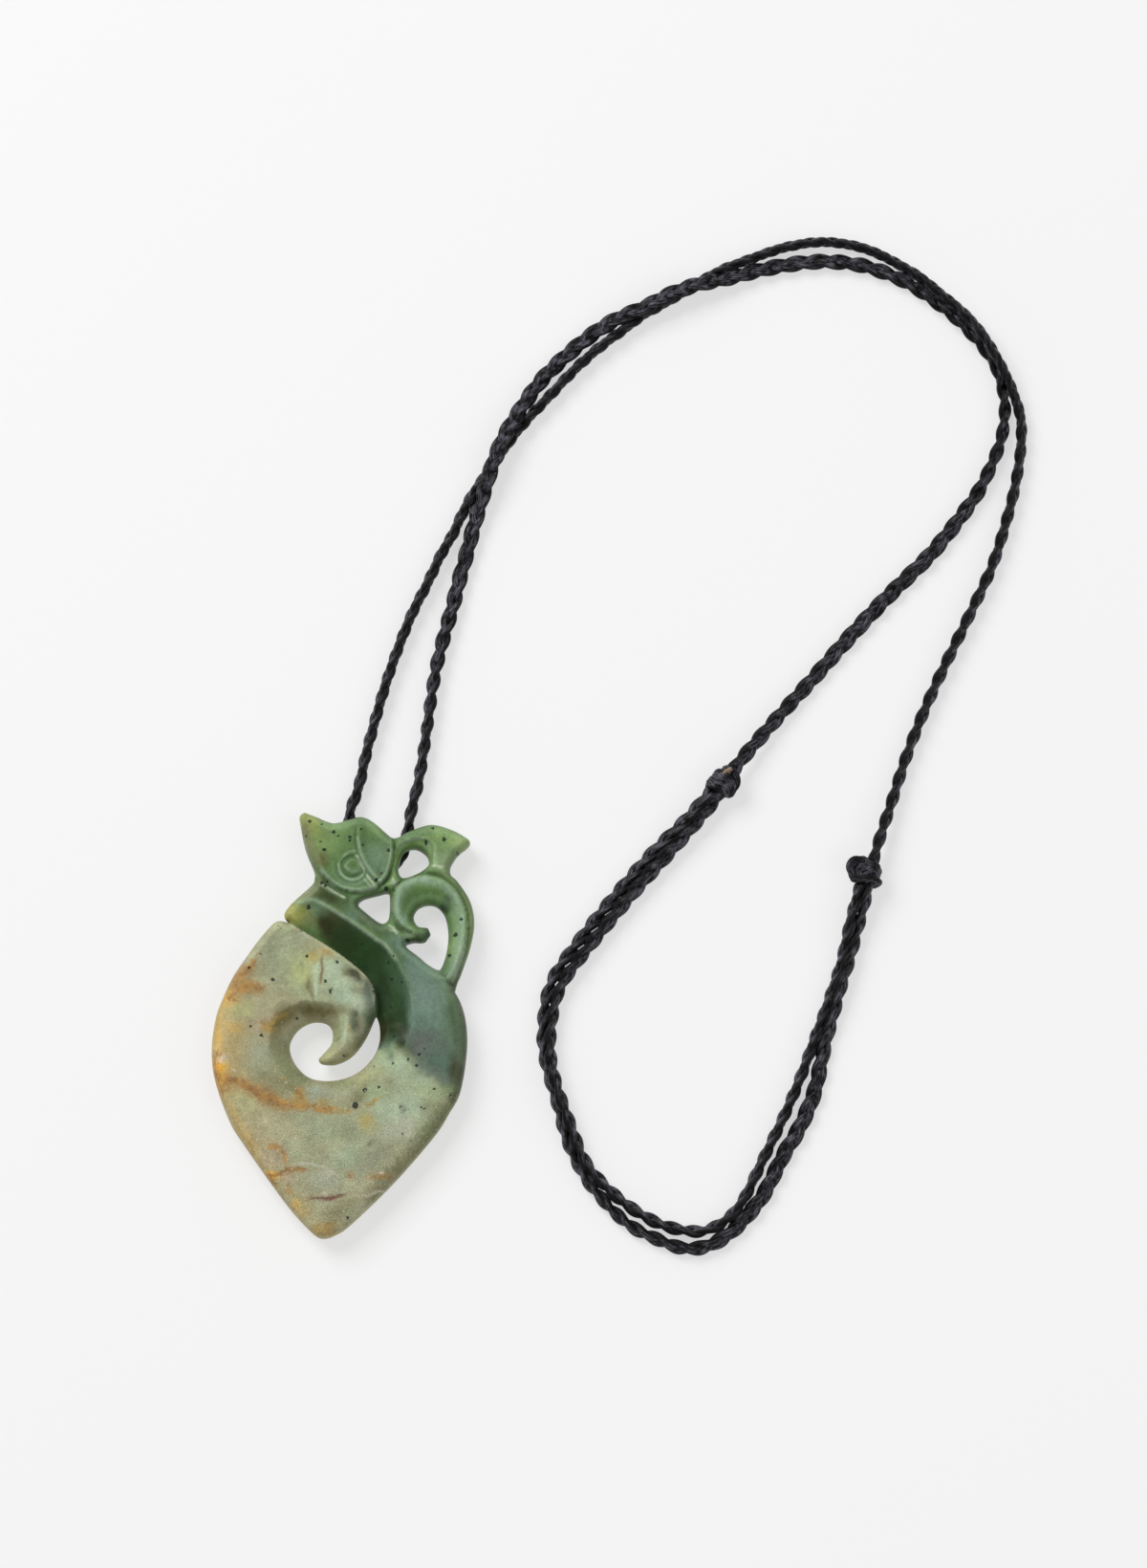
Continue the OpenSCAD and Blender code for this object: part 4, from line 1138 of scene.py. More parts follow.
    (-2, 46.6, 1.6, 1.2, -20, 1.4, 0.5, "milkBright"), (2.4, 41.6, 1.6, 1.2, -20, 1.4, 0.6, "milkBright"),
    (4.2, 42.4, 1, 1.8, 10, 1.4, 0.6, "finSlate"), (1.1, 36.9, 0.4, 1.2, -10, 1.5, 0.6, "goldenDark"),
    (-0.3, 34.5, 0.5, 0.5, 0, 1.5, 0.55, "oliveMid"), (2.3, 33.7, 0.5, 0.4, 0, 1.5, 0.6, "oliveMid"),
    (-12.8, 36.4, 1.4, 0.9, 50, 1.4, 0.6, "goldenDark"), (-10.5, 38.3, 1.8, 0.5, 35, 1.5, 0.7, "goldenDark"),
    (-21.3, 28.9, 0.8, 1.8, 15, 1.6, 0.9, "amber"), (-12.6, 11, 0.7, 0.6, -10, 1.6, 0.8, "amber"),
    (-17, 17.8, 8.5, 0.9, -61, 1.6, 0.6, "goldenTan"), (-9.2, 26.4, 2.6, 0.9, -22, 1.4, 0.55, "oliveMid"),
    (-5, 25.5, 1.4, 0.5, -8, 1.5, 0.4, "coolPale"), (18.2, 25.6, 0.9, 1.1, 0, 1.4, 0.6, "paleGreen"),
]
jadePatches = [
    (-6.5, 72.2, 2.7, 3.4, 12, 1.2, 0.9, "tipYellow"), (-6, 69.6, 0.9, 3.2, 14, 1.3, 0.8, "brown"),
    (-4, 66.3, 1.2, 1.3, 25, 1.4, 0.95, "vein"), (-5.5, 68.2, 0.8, 1.8, 16, 1.4, 0.9, "vein"),
    (-6.5, 71, 0.5, 1, 10, 1.4, 0.7, "vein"), (-1.8, 72, 3, 1.4, 0, 1.2, 0.5, "jadeLight"),
    (5.7, 66.3, 2.2, 3.2, 0, 1.4, 0.9, "jadeMilk"), (1.2, 63, 3.4, 2, -10, 1.3, 0.6, "jadeMilk"),
    (5, 72.4, 2, 1.2, -35, 1.2, 0.5, "jadeLight"), (17.6, 70, 4, 2, -20, 1.3, 0.9, "jadeLight"),
    (20.6, 68.9, 2.2, 1.6, -15, 1.4, 0.9, "crestLight"), (17.6, 65.6, 1.8, 2.4, 0, 1.3, 0.7, "jadeLight"),
    (1, 64.2, 1.3, 1, 0, 1.3, 0.6, "koruDeep"), (20.6, 48, 1.2, 3.6, 10, 1.4, 0.95, "jadePale"),
    (20.4, 55, 1.6, 6, 0, 1.3, 0.4, "jadeLight"), (14, 62.4, 4, 1.2, 0, 1.3, 0.35, "jadeLight"),
    (1.4, 64.8, 3.2, 2.4, 0, 1.3, 0.3, "koruDeep"), (12.6, 71.4, 3, 0.9, 5, 1.3, 0.5, "jade"),
    (15.3, 67.3, 0.9, 2.2, 0, 1.4, 0.9, "jadeLight"), (12, 69, 2.6, 0.7, 8, 1.4, 0.8, "jadeBright"),
    (9, 66, 0.8, 3.4, 0, 1.4, 0.9, "jadeBright"), (13, 60.6, 4, 2.2, 0, 1.4, 0.75, "jadeBright"),
    (14.3, 53.4, 1.3, 1.3, 0, 1.5, 0.8, "edgeGreen"), (17.2, 66, 1.2, 1.6, 10, 1.3, 0.7, "jadePale"),
    (19, 49.5, 1.4, 4, 14, 1.3, 0.5, "jadeLight"), (17.9, 58.1, 1, 1.1, 0, 1.6, 0.95, "shankDeep"),
    (18.6, 59.6, 0.7, 0.6, 0, 1.4, 0.7, "edgeGreen"), (12.3, 54.4, 1.5, 0.6, -15, 1.4, 0.7, "jadeBright"),
    (12.2, 52.3, 1.7, 0.9, -5, 1.5, 0.85, "tongue"), (22.3, 55, 0.8, 7, 0, 1.4, 0.7, "jadeLight"),
    (-4.6, 62, 1.8, 2.2, 30, 1.3, 0.6, "brown"), (-6.6, 60.2, 1.8, 1.6, 40, 1.3, 0.8, "neckPale"),
    (-2.6, 59.2, 2.4, 1.2, -25, 1.4, 0.8, "brownBlack"), (1.6, 58.2, 2.4, 1.6, -20, 1.2, 0.5, "edgeGreen"),
    (-2, 54.9, 3, 2, -38, 1.4, 0.8, "brown"), (-4.9, 57.4, 2.2, 1.2, -30, 1.4, 0.7, "jadeMilk"),
    (-9.4, 57.2, 2.2, 1.7, -40, 1.6, 0.95, "cornerYellow"), (-7.2, 56.6, 1.6, 1.6, -40, 1.4, 0.7, "tipYellow"),
    (-5.6, 55.6, 1.6, 1.1, -30, 1.6, 0.6, "olive"), (-2.8, 54.6, 1.4, 2.4, 30, 1.8, 0.9, "brownBlack"),
    (0.8, 52.6, 4, 2.4, -36, 1.6, 0.95, "shankBlack"), (5.4, 48.8, 3.6, 2.6, -45, 1.6, 0.95, "shankDeep"),
    (8, 45, 2.6, 4, 12, 1.5, 0.9, "shankGreen"), (6.8, 44, 1.4, 4.8, 8, 1.4, 0.9, "shankBlack"),
    (9, 38.5, 2.8, 5, 0, 1.8, 0.8, "shankDeep"), (7, 38, 0.8, 3.4, 0, 1.4, 0.7, "shankBlack"),
    (9.6, 35.2, 1.6, 1.4, 0, 1.5, 0.7, "shankDeep"), (4.6, 55.4, 3.4, 1, -36, 1.5, 0.7, "purple"),
    # right of the shank's ridge: blue-grey green stone with a painted satin reflection
    (9.5, 51.4, 2.4, 1.6, -38, 1.3, 0.8, "blueGreenSheen"), (12.8, 47.5, 2.6, 3.2, 24, 1.5, 0.95, "blueGreenSheen"),
    (15.2, 41.6, 3.6, 5.6, 12, 1.5, 0.95, "paleBlueGreenSheen"), (13, 43.2, 1.3, 4.4, 14, 1.8, 0.9, "paleBlueGreenSheen"),
    (12.7, 37.4, 1.3, 4, 0, 1.8, 0.9, "blueGreenSheen"), (15.6, 35.2, 3.6, 3.6, 0, 1.4, 0.85, "blueGreenSheen"),
    # along the right edge the dark green is partly painted shade on the bevel there
    (20.3, 41.5, 2.2, 6.4, 8, 1.4, 0.95, "edgeGreen"), (21, 35, 1.9, 7.4, 0, 1.5, 1, "edgeGreen"),
    (14.2, 33.4, 3, 2.6, -20, 1.4, 0.9, "finPurple"), (17.2, 33, 2.4, 3.2, 0, 1.4, 0.85, "finSlate"),
    (17.8, 30.2, 3.4, 2.2, -25, 1.5, 0.9, "finDeep"), (14, 29.6, 3, 1.4, -35, 1.6, 0.95, "finSlate"),
    (17, 28, 2.6, 1.3, -35, 1.6, 0.9, "finSlate"), (19.7, 29.2, 1.6, 2.6, 0, 1.8, 1, "brownBlack"),
    (8.8, 32.8, 0.9, 1, 3, 1.2, 0.6, "jadeMilk"), (8.6, 37.4, 1.8, 2, 0, 1.8, 0.7, "wedge"),
    (6.9, 35.4, 0.9, 2.6, 0, 1.6, 0.95, "brownBlack"), (7.2, 33.2, 0.8, 0.9, 0, 1.3, 0.7, "finDeep"),
    (10.4, 35.4, 0.9, 2.4, -12, 1.8, 1, "wedge"), (11.4, 53.8, 1, 0.8, 0, 1.4, 0.5, "jadePale"),
    (-3.2, 69, 3, 2.6, 20, 1.2, 0.5, "jadeLight"), (10.2, 38.6, 1, 2.2, 0, 1.5, 0.9, "shankDeep"),
    (8.2, 60, 0.8, 2, 0, 1.4, 0.6, "jadeBright"), (12.2, 59.6, 2.4, 1.3, 25, 1.4, 0.8, "koruDeep"),
    (15, 60.4, 2.4, 1, -10, 1.4, 0.6, "koruDeep"), (1.5, 64.7, 1.9, 1.5, 10, 1.4, 0.7, "koruDeep"),
    # the blue-green patch here is partly painted satin reflection
    (1.6, 56.2, 1.6, 0.9, -30, 1.3, 0.6, "blueGreenSheen"), (16.8, 65.2, 1.4, 1.1, 0, 1.4, 0.6, "jadeLight"),
]
# orange stains along lines: how wide, how strong, and the points of the line
stains = [
    (1.4, 1.0, [(-22.6, 31.5), (-22.4, 30), (-22, 28.6)]),
    (1.0, 1.0, [(-22.4, 30.4), (-21.8, 28.6), (-21, 27.9), (-19.1, 27.6), (-17.4, 27)]),
    (1.1, 0.95, [(-17.4, 27), (-15.8, 26), (-14, 24.8), (-11.7, 23.8), (-9.4, 23.2)]),
    (0.7, 0.9, [(-9.4, 23.2), (-6.6, 22.8), (-3.6, 22.5), (-1.6, 22.1)]),
    (0.5, 0.55, [(-1.6, 22.1), (0.4, 21.8), (3, 22.3), (5, 23.3), (6.4, 23.8)]),
    (0.9, 1.0, [(-22, 27.4), (-21.2, 25.6)]), (0.9, 0.85, [(-7.8, 25.6), (-6.9, 24.2)]),
    (0.45, 0.8, [(-10.8, 27.4), (-10.3, 27.1)]),
    (0.9, 1.0, [(-19.6, 41.8), (-18.2, 43.2), (-16, 44.2), (-14.2, 43.7)]),
    (0.8, 0.95, [(-18.4, 44), (-17.2, 46.4), (-15.4, 48)]), (0.35, 0.5, [(-14.9, 50.2), (-14.8, 47.6)]),
    (0.7, 0.9, [(-14.4, 11.2), (-12.8, 10.8), (-10.8, 11.1), (-9, 11.9), (-7, 11.6)]),
    (0.7, 1.0, [(-13.4, 10.6), (-12.2, 9.4)]), (0.5, 0.95, [(-12.8, 15.5), (-11, 15.4), (-10.2, 14.4), (-9.9, 13)]),
    (0.5, 0.6, [(1.2, 11.2), (1.6, 10.4)]), (0.3, 0.75, [(5.4, 10.3), (7.2, 10.3), (8.6, 10)]),
    (0.5, 0.5, [(-9.4, 8.2), (-8.6, 7.2)]), (0.4, 0.4, [(-3.2, 12.6), (-2, 12.8)]),
    (0.8, 0.75, [(-14.2, 37.4), (-13.2, 36.4), (-12.4, 36)]), (0.8, 0.4, [(-18, 33.2), (-15.6, 33)]),
    (0.5, 0.6, [(-19.4, 22.4), (-18.2, 19.4), (-15.6, 15)]), (0.5, 0.5, [(-12, 8.8), (-9.6, 6), (-7, 3.4)]),
]
# x, y and size of each dark speck
specks = [
    (-5.8, 73, 0.26), (-3.7, 72.5, 0.16), (-1.6, 71.1, 0.25), (-0.8, 70.4, 0.15), (-6.4, 70.5, 0.17),
    (-4, 69.4, 0.14), (-3.3, 68, 0.27), (1.2, 70.2, 0.24), (1.2, 69.6, 0.18), (3.1, 71.6, 0.2), (-3.7, 62.1, 0.28),
    (-3.1, 61.6, 0.24), (5.8, 62.7, 0.25), (7.5, 61.3, 0.32), (19.6, 53, 0.34), (20.6, 55.7, 0.22),
    (18.5, 49.5, 0.27), (11.3, 52.1, 0.26), (8.5, 45.3, 0.24), (15.6, 71.8, 0.24), (14.4, 69.5, 0.22),
    (14.4, 69.1, 0.17), (19.9, 67.6, 0.2), (17.6, 69.8, 0.3), (-12.2, 45.1, 0.28), (-16.3, 47.2, 0.24),
    (-14.4, 49.6, 0.15), (-1, 48.2, 0.25), (-3, 44.8, 0.23), (-1.9, 43.4, 0.2), (-2.3, 43.1, 0.17),
    (-2.2, 42.7, 0.15), (-6.3, 49.2, 0.22), (-14.1, 35.2, 0.27), (-16, 36.8, 0.16), (-8, 38.4, 0.22),
    (2.2, 22.9, 0.52), (3.9, 25.6, 0.33), (6.3, 26.1, 0.2), (10, 22.6, 0.16), (14.2, 22.3, 0.17),
    (13.6, 22.6, 0.14), (15.9, 25.8, 0.18), (11.9, 16.8, 0.14), (0.9, 3.3, 0.18), (8.9, 35.1, 0.2),
    (12.8, 29.9, 0.22), (10.3, 44.7, 0.15), (7.2, 41.7, 0.17), (8.5, 40.4, 0.17), (11.4, 31, 0.18),
    (8.7, 30.3, 0.15), (-11.3, 54.5, 0.13), (-10.9, 54.1, 0.11), (-7.3, 53.6, 0.11), (5.4, 29.8, 0.15),
    (18.7, 24.7, 0.16), (13.3, 31.9, 0.19), (14.2, 32.8, 0.12), (20.4, 38.8, 0.15), (10.5, 17.9, 0.16),
    (-2.8, 62.5, 0.15), (10.1, 36.9, 0.15), (7.9, 48.1, 0.16), (3.3, 51.5, 0.18), (8.8, 49.2, 0.13),
    (-6, 57.9, 0.3), (3.4, 69, 0.17), (7.9, 67.9, 0.3), (6.6, 63.8, 0.22), (22, 54.2, 0.16), (5.2, 43, 0.14),
    (0.3, 31.8, 0.14),
]
# painted highlights: pale lines of the carving, where its crests catch the light, pale streaks and glints: how wide,
# how strong, hue, points
sheens = [
    (0.8, 0.5, "koruSheen", [
        (10.4, 55.4), (9.6, 56.6), (9.3, 58.2), (9.6, 60), (10.6, 61.4), (12.2, 62.4), (14.2, 62.6)]),
    (0.75, 0.45, "koruSheen", [
        (14.2, 62.6), (16.6, 62), (18.6, 60.6), (19.9, 58.4), (20.5, 55.6), (20.5, 52.2), (20, 49), (19.2, 46)]),
    (0.28, 0.45, "sheen", [(-3.9, 64.4), (-2, 62.4), (-0.3, 61.5), (2, 60.9), (4.4, 61), (5.8, 61.5)]),
    (0.4, 0.5, "jadePale", [(-7, 69.6), (-5.9, 66.2), (-5, 63.8)]),
    (0.2, 0.85, "glint", [(-3.7, 61.9), (-2.6, 61.3), (-1.2, 60.4), (0.2, 59.5)]),
    (0.32, 0.45, "sheen", ridgeLine[:9]), (0.24, 0.5, "sheen", leafLine[1:6]), (0.24, 0.5, "sheen", leafLine[5:9]),
    (0.2, 0.6, "sheen", [(-0.7, 65.4), (-0.4, 64), (0.4, 63.1), (1.6, 62.7), (2.9, 62.9), (3.5, 63.5)]),
    (0.18, 0.8, "glint", [(2.5, 66.9), (3, 65.7), (3.7, 64.6)]),
    (0.16, 0.4, "sheen", [(0.1, 66.9), (1, 67.6), (2.1, 67.9)]),
    (0.16, 0.5, "sheen", [(0.3, 65.2), (0.9, 64.4), (2, 64.1), (3.2, 64.2)]),
    (0.18, 0.8, "glint", [(4.2, 63.4), (5.6, 61.5)]), (0.16, 0.5, "sheen", [(3.7, 62.9), (5, 61.2)]),
    (0.26, 0.55, "sheen", [(9.6, 68.6), (10.5, 69.4), (12, 69.8), (14, 70)]),
    (0.2, 0.4, "sheen", [(15, 69.2), (15.8, 67.4), (15.8, 65.8)]),
    (0.24, 0.75, "glint", [(15.6, 65.3), (17.2, 64.9)]), (0.16, 0.55, "glint", [(8.6, 62.9), (9.2, 61.4)]),
    (0.15, 0.55, "glint", [(8.4, 62), (9.7, 62.6)]), (0.15, 0.6, "glint", [(8.9, 62.7), (9.5, 61.8)]),
    (0.16, 0.55, "glint", [(8.1, 54.6), (8.9, 53.9)]), (0.15, 0.55, "glint", [(8.7, 54.4), (9.3, 53.2)]),
    (0.15, 0.6, "glint", [(8.2, 53.8), (9.6, 53.4)]),
    (0.3, 0.55, "milkBright", [(0.8, 38.4), (0.6, 36.6), (0.1, 34.4)]),
    (0.35, 0.75, "milkBright", [(-4.7, 47.4), (-4.75, 45), (-4.7, 43), (-4.6, 41.7)]),
    (0.26, 0.95, "pinkGlint", [(-3.2, 7.7), (-2.9, 7.4)]), (0.24, 0.9, "pinkGlint", [(6.6, 11.1), (6.9, 11.1)]),
    (0.16, 0.8, "pinkGlint", [(-2.1, 10.7), (-1.9, 10.8)]), (0.18, 0.7, "pinkGlint", [(-21.6, 26.6), (-21.4, 26.2)]),
    (0.16, 0.6, "pinkGlint", [(-19.2, 29.2), (-18.6, 28.9)]), (0.16, 0.6, "pinkGlint", [(11, 17.8), (11.4, 17.6)]),
    (0.14, 0.6, "pinkGlint", [(-8.4, 17), (-8.2, 17.1)]),
]
# fine cracks and veins: how wide, hue, points
cracks = [
    (0.28, (0.15, 0.065, 0.045), [(-6.4, 6.4), (-4.6, 6.6), (-3, 6.55), (-1.4, 6.8), (1.2, 7.4)]),
    (0.46, (0.16, 0.07, 0.05), [(-3.6, 6.5), (-2, 6.65), (-0.4, 6.95)]),
    (0.14, (0.5, 0.46, 0.34), [(1.6, 7), (3.4, 6.95), (5, 7.3), (6.2, 7.9), (8.4, 8.1)]),
    (0.24, (0.2, 0.1, 0.055), [(-3.4, 49.9), (-3.7, 48.4), (-3.6, 47), (-3.8, 45.4), (-4, 43.6)]),
    (0.3, (0.24, 0.115, 0.07), [(-20.4, 28.6), (-18.4, 27), (-16.6, 26), (-14.2, 25.6), (-12.8, 25.8)]),
    (0.16, (0.3, 0.16, 0.07), [(-13.4, 10.9), (-11, 10.9), (-9.4, 11.8), (-6.8, 11.8), (-5.2, 11.2)]),
    (0.18, (0.46, 0.47, 0.36), [(-9.2, 12.2), (-6.8, 12.7), (-4.2, 12.3), (-2, 11.4), (-0.3, 10.3)]),
]
# the jade part's bounds: the lobe's edge, the change of colour across the body, then far outside
jadeBounds = [
    (4.4, 38), (3.8, 34), (4.6, 32.4), (6.6, 32.8), (8.2, 32), (8.9, 32.9), (10.2, 32.6), (11, 32.2), (12.6, 30.2),
    (14.4, 28.9), (16.2, 28.4), (18, 26.6), (22, 25.6), (27, 30), (27, 82), (-14, 82),
]
jadeLoop = np.vstack([[(-12.5, 56.2), (-9.9, 55.75)], lobeCurve, jadeBounds])
rightEdge = np.concatenate([outline[2:len(smoothLine(bodyRun, fine))], smoothLine(koruRun, fine)])
paint = {
    "drift": 1.7,
    "jadeDrift": 1.1,
    "fineDrift": 0.9,
    "streakSize": 2.4,
    "streakFirm": 4,
    "paleStreaks": 0.5,
    "paleFrom": 0.52,
    "darkStreaks": 0.3,
    "darkFrom": 0.44,
    "rimShade": 0.55,
    "rimReach": 1.6,
    "funnelShade": 0.5,
    "funnelReach": 1.3,
    "broadTone": 0.34,
    "fineTone": 0.2,
    "stainCore": 0.6,
    "stainHalo": 0.4,
    "haloWidth": 2.6,
    "crackStrength": 0.9,
    "glowWidth": 0.32,
    "jadeGlowLost": 0.7,
    "lobeGlowLost": 0.7,
    "crestHighlightShare": 0.15,
    "crestHeight": 0.09,
    "reliefShadingRange": (-0.1, 0.2),
    "jadeRelief": 1.3,
    "reliefRounds": 9,
}


def blend(colour, hue, share):
    colour += (np.array(hues.get(hue, hue)) - colour) * share[:, None]


def paintPatches(places, colour, patches, where):
    for x, y, halfX, halfY, turn, firm, strength, hue in patches:
        c, s = math.cos(math.radians(turn)), math.sin(math.radians(turn))
        dx, dy = places[:, 0] - x, places[:, 1] - y
        far = np.hypot((dx * c + dy * s) / halfX, (dy * c - dx * s) / halfY)
        blend(colour, hue, np.clip(strength * np.exp(-(far ** (2 * firm)) * 0.9) * where, 0, 1))


def cloudPair(places, size, seed):
    return np.column_stack([cloud(places, size, seed), cloud(places, size, seed + 10)]) - 0.5


def paintStone(places, depth, front):
    warp, small = cloudPair(places, 5, 11), cloudPair(places, 1.3, 31)
    near = places + small * paint["fineDrift"]
    x, y = places.T

    # how far each point belongs to the jade part, sharp at the lobe and soft across the body
    below = ease((37 - y) / 3)
    softness = 0.3 + 2.4 * below * (x > 6.6) + 0.8 * ease((x - 11) / 2.5) * ease((34 - y) / 3)
    edgePlaces = places + (warp * 2.6 + small * 1.2) * below[:, None]
    gap = distanceTo(edgePlaces, jadeLoop, closed=True)
    jade = ease(0.5 + np.where(within(edgePlaces, jadeLoop), gap, -gap) / softness)
    slot = np.interp(y, [29.4, 31.3, 33.5, 36, 39.1], [1.5, 3.6, 5, 5.8, 6])
    jade = jade * np.where(y < 39.1, ease((x - slot) / 0.2 + 0.5), 1)

    body = np.tile(np.array(hues["oliveGrey"]), (len(places), 1))
    green = np.tile(np.array(hues["jade"]), (len(places), 1))
    blend(green, "shankDeep", 0.85 * zone(places, slopeLoop, 0.5) * ease((x + 4.5) / 3) * ease((y - 32.5) / 2.5))
    slanted = np.column_stack([x * 0.36 + y * 0.17, y * 1.1 - x * 0.5]) + small * 0.8
    streak = cloud(slanted, paint["streakSize"], 81, 4)
    for hue, share, over in (("streakPale", "paleStreaks", streak - paint["paleFrom"]),
                             ("oliveMid", "darkStreaks", paint["darkFrom"] - streak)):
        blend(body, hue, paint[share] * np.clip(over * paint["streakFirm"], 0, 1))
    paintPatches(places + warp * paint["drift"] + small * paint["fineDrift"], body, bodyPatches,
                 0.6 + 0.8 * cloud(places + small, 1.6, 71))
    paintPatches(places + warp * paint["jadeDrift"] + small * 0.7, green, jadePatches, np.ones(len(places)))
    colour = body + (green - body) * jade[:, None]

    # shade at the right edge and in the funnel, then the broad and the fine tone
    outerGap = distanceTo(places, rightEdge)
    rimDark = paint["rimShade"] * bump(outerGap, paint["rimReach"]) * (x > 3) * ease((x - y * 0.12 - 2) / 6)
    blend(colour, "oliveShade", rimDark * (1 - 0.4 * jade))
    funnelGap = distanceTo(near, funnelCurve)
    shaded = paint["funnelShade"] * np.exp(-funnelGap / paint["funnelReach"]) * zone(near, funnelLoop, 0.3)
    shaded = shaded * ease((0.5 - near[:, 0]) / 2) * ease((y - 30) / 7)
    blend(colour, "oliveDark", shaded * (1 - jade))
    broad, little = cloud(places, 2.4, 51) - 0.5, cloud(places, 0.7, 61, 2) - 0.5
    colour *= (1 + paint["broadTone"] * broad + paint["fineTone"] * little)[:, None]

    rust = np.zeros(len(places))
    for width, strength, line in stains:
        gap = distanceTo(near + warp * 0.8, smoothLine(line, 4))
        halo = paint["stainHalo"] * bump(gap, width * paint["haloWidth"])
        rust = np.maximum(rust, strength * (paint["stainCore"] * bump(gap, width) + halo))
    for width, hue, line in cracks:
        gap = distanceTo(places + small * 0.35, smoothLine(line, 6))
        ends = np.minimum(*(np.hypot(*(places - line[end]).T) for end in (0, -1)))
        blend(colour, hue, paint["crackStrength"] * front * bump(gap, width) * ease(0.15 + ends / 2))
    spotty = 0.55 + 0.9 * cloud(places, 0.55, 91, 2)
    for width, strength, hue, line in sheens:
        gap = distanceTo(places + small * 0.2, smoothLine(line, 4) if len(line) > 2 else np.array(line))
        blend(colour, hue, np.clip(strength * front * bump(gap, width) * spotty, 0, 0.95))
    speck = np.full(len(places), 2.0)
    for speckX, speckY, size in specks:
        speck = np.minimum(speck, np.hypot(x - speckX, y - speckY) - size)

    # painted glow on the thin rim, less in the jade part and beside the lobe
    glow = bump(depth, paint["glowWidth"]) * (1 - paint["jadeGlowLost"] * jade)
    lobeGap = distanceTo(places, lobeCurve)
    glow = glow * (1 - paint["lobeGlowLost"] * bump(lobeGap, 1) * ease((x + 8) / 6))
    return colour, rust * (1 - jade), speck, glow, jade


def standOut(mesh, heights, rounds):
    # how far each point stands out from the smoothed shape round it, in mm
    ends = np.zeros(len(mesh.edges) * 2, np.int64)
    mesh.edges.foreach_get("vertices", ends)
    a, b = ends.reshape(-1, 2).T
    count = np.bincount(a, minlength=len(heights)) + np.bincount(b, minlength=len(heights))
    smooth = heights.copy()
    for _ in range(rounds):
        total = np.bincount(a, smooth[b], minlength=len(heights)) + np.bincount(b, smooth[a], minlength=len(heights))
        smooth = 0.4 * smooth + 0.6 * total / count
    return heights - smooth


def addValues(mesh, name, values):
    kind = "FLOAT_COLOR" if values.ndim == 2 else "FLOAT"
    layer = mesh.attributes.new(name, kind, "POINT")
    if values.ndim == 2:
        layer.data.foreach_set("color", np.column_stack([values, np.ones(len(values))]).reshape(-1))
    else:
        layer.data.foreach_set("value", values)


mesh = pendant.data
spots = coordinates(mesh)
places = spots[:, :2] / mm + [0, midY]
depth, _ = edgeGap(places)
front = (spots[:, 2] > (stone["rim"] - 0.05) * mm).astype(float)
colour, rust, speck, glow, jade = paintStone(places, depth, front)

# painted shade and highlight: hollows are a little darker than the crests, and the jade's crests are paler
stands = standOut(mesh, spots[:, 2] / mm, paint["reliefRounds"]) * front * ease((depth - 0.35) / 0.5)
ridgeGap = distanceTo(places, ridgeCurve)
calm = 1 - bump(ridgeGap, 1.8) * ease((48 - places[:, 1]) / 4)
tone = np.clip(stands * calm * (1 + paint["jadeRelief"] * jade), *paint["reliefShadingRange"])
colour *= np.exp(tone)[:, None]
blend(colour, "crestHighlight", np.clip(stands / paint["crestHeight"], 0, 1) * jade * calm * paint["crestHighlightShare"])
for name, values in (("stoneColourAndPaintedLight", colour), ("rustStain", rust), ("darkSpeck", speck), ("thinRimGlow", glow),
                     ("jadeShare", jade)):
    addValues(mesh, name, values)
say("the stone's patches, stains, specks and cracks are painted")

finish = {
    "grainScale": 3700,
    "grainTone": (0.62, 1.38),
    "grainShare": (0.4, 0.88),
    "jadeGrain": 0.8,
    "grainRelief": 0.4,
    "mottleScale": 1500,
    "mottleTone": (0.87, 1.13),
    "rustDark": (0.25, 0.13, 0.045),
    "rustLight": (0.46, 0.255, 0.068),
    "rustShare": 0.86,
    "rustBand": (0.42, 1.0),
    "rustEdgeScale": 1900,
    "rustRagged": 0.6,
    "rustHueScale": 600,
    # colour of the painted glow on the thin rim
    "rim": (0.45, 0.42, 0.2),
    "rimGlowShare": 0.3,
    "speck": (0.012, 0.016, 0.014),
    "speckShare": 0.9,
    "speckEdgeScale": 2600,
    "speckRagged": 0.12,
    "sparkleScale": 2900,
    "sparkleBand": (0.74, 0.8),
    "sparkleShare": 0.6,
    "bodyRoughness": 0.47,
    "jadeRoughness": 0.34,
    "mottleRoughness": 0.05,
    "specular": 0.14,
    "underGlow": 0.06,
    "underGlowRadius": (1.0, 1.3, 0.7),
    "underGlowDepth": 0.0009,
    "bump": (0.25, 0.00012),
}
greenstone, tree, shader = newMaterial("greenstone")
objectPlace = tree.nodes.new("ShaderNodeTexCoord").outputs["Object"]
upDown = tree.nodes.new("ShaderNodeSeparateXYZ")
tree.links.new(objectPlace, upDown.inputs["Vector"])
paintLayer = readValue(tree, "stoneColourAndPaintedLight").outputs["Color"]
rustLayer, speckLayer, rimGlowLayer, jadeLayer = (
    readValue(tree, name).outputs["Fac"] for name in ("rustStain", "darkSpeck", "thinRimGlow", "jadeShare"))

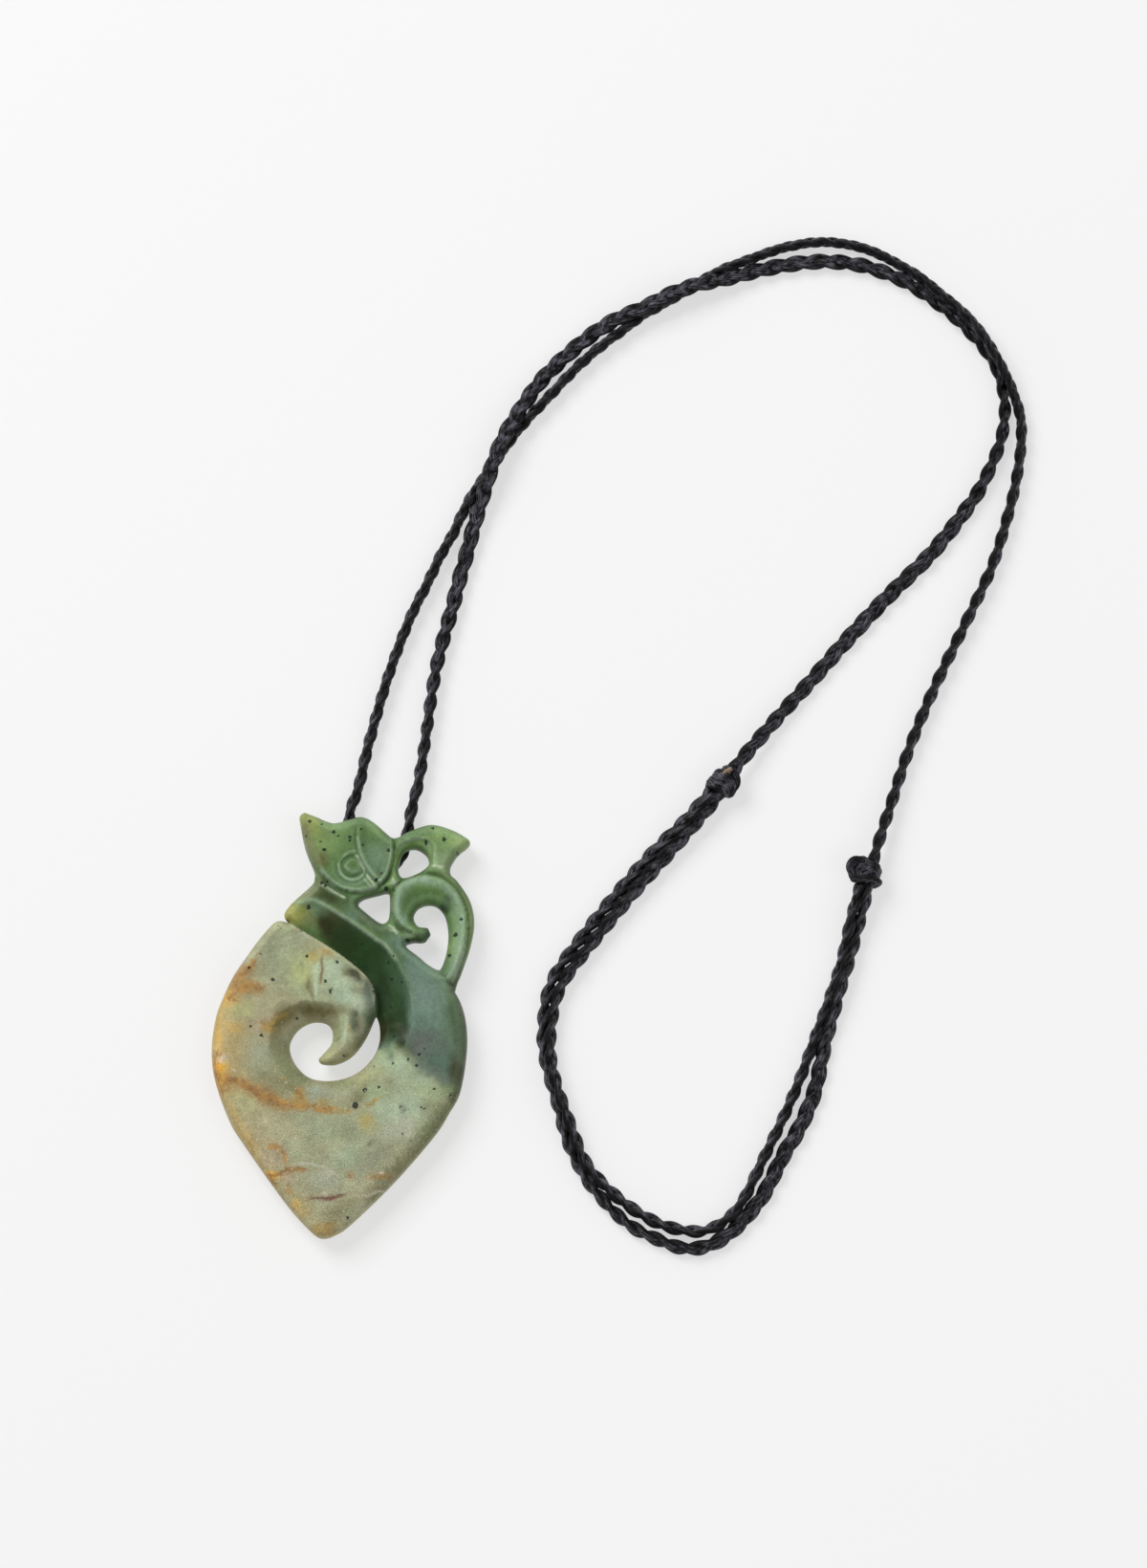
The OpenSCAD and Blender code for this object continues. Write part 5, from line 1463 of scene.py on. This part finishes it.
# mottle all over, and grain that is stronger towards the foot and weaker in the jade part
grain = noiseOn(tree, objectPlace, finish["grainScale"], 2)
mottle = noiseOn(tree, objectPlace, finish["mottleScale"], 5, 0.66)
shown = mixColour(
    tree, 1.0, paintLayer, spread(tree, mottle, 0.25, 0.75, *finish["mottleTone"], smooth=False), "MULTIPLY")
grainDepth = combine(
    tree, "MULTIPLY", spread(tree, upDown.outputs["Y"], 0.002, -0.03, *finish["grainShare"], smooth=False),
    spread(tree, jadeLayer, 0, 1, 1, finish["jadeGrain"]))
grained = mixColour(tree, 1.0, shown, spread(tree, grain, 0.3, 0.7, *finish["grainTone"], smooth=False), "MULTIPLY")
shown = mixColour(tree, grainDepth, shown, grained)


def ragged(layer, noise, by):
    # noise moves the edge of a painted layer in and out
    return combine(tree, "ADD", layer, spread(tree, noise, 0.3, 0.7, -by, by, smooth=False))


# rust with a ragged edge, the painted glow of the thin rim, and the dark specks
rustEdge = ragged(rustLayer, noiseOn(tree, objectPlace, finish["rustEdgeScale"], 6, 0.78), finish["rustRagged"])
rustHue = mixColour(tree, spread(tree, noiseOn(tree, objectPlace, finish["rustHueScale"]), 0.35, 0.65),
                    finish["rustDark"], finish["rustLight"])
shown = mixColour(tree, spread(tree, rustEdge, *finish["rustBand"], 0, finish["rustShare"]), shown, rustHue)
shown = mixColour(tree, spread(tree, rimGlowLayer, 0.35, 1, 0, finish["rimGlowShare"]), shown, finish["rim"])
speckEdge = ragged(speckLayer, noiseOn(tree, objectPlace, finish["speckEdgeScale"], 2), finish["speckRagged"])
shown = mixColour(tree, spread(tree, speckEdge, -0.02, 0.16, finish["speckShare"], 0), shown, finish["speck"])

# painted glints: bright pinpoints on the body, more of them towards the foot
sparkle = spread(tree, noiseOn(tree, objectPlace, finish["sparkleScale"], 0), *finish["sparkleBand"],
                 0, finish["sparkleShare"])
for share in (spread(tree, upDown.outputs["Y"], 0.01, -0.02, 0.15, 1), spread(tree, jadeLayer, 0, 0.5, 1, 0)):
    sparkle = combine(tree, "MULTIPLY", sparkle, share)
shown = mixColour(tree, sparkle, shown, hues["glint"])
tree.links.new(shown, shader.inputs["Base Color"])
roughness = combine(tree, "ADD", spread(tree, jadeLayer, 0, 1, finish["bodyRoughness"], finish["jadeRoughness"]),
                    spread(tree, mottle, 0.3, 0.7, -finish["mottleRoughness"], finish["mottleRoughness"]))
tree.links.new(roughness, shader.inputs["Roughness"])
setInputs(shader, {
    "Specular IOR Level": finish["specular"],
    "Subsurface Weight": finish["underGlow"],
    "Subsurface Radius": finish["underGlowRadius"],
    "Subsurface Scale": finish["underGlowDepth"],
})
relief = combine(tree, "ADD", combine(tree, "MULTIPLY", grain, finish["grainRelief"]), mottle)
bumpOn(tree, shader, relief, *finish["bump"])
pendant.data.materials.append(greenstone)
say("the stone has its finish")
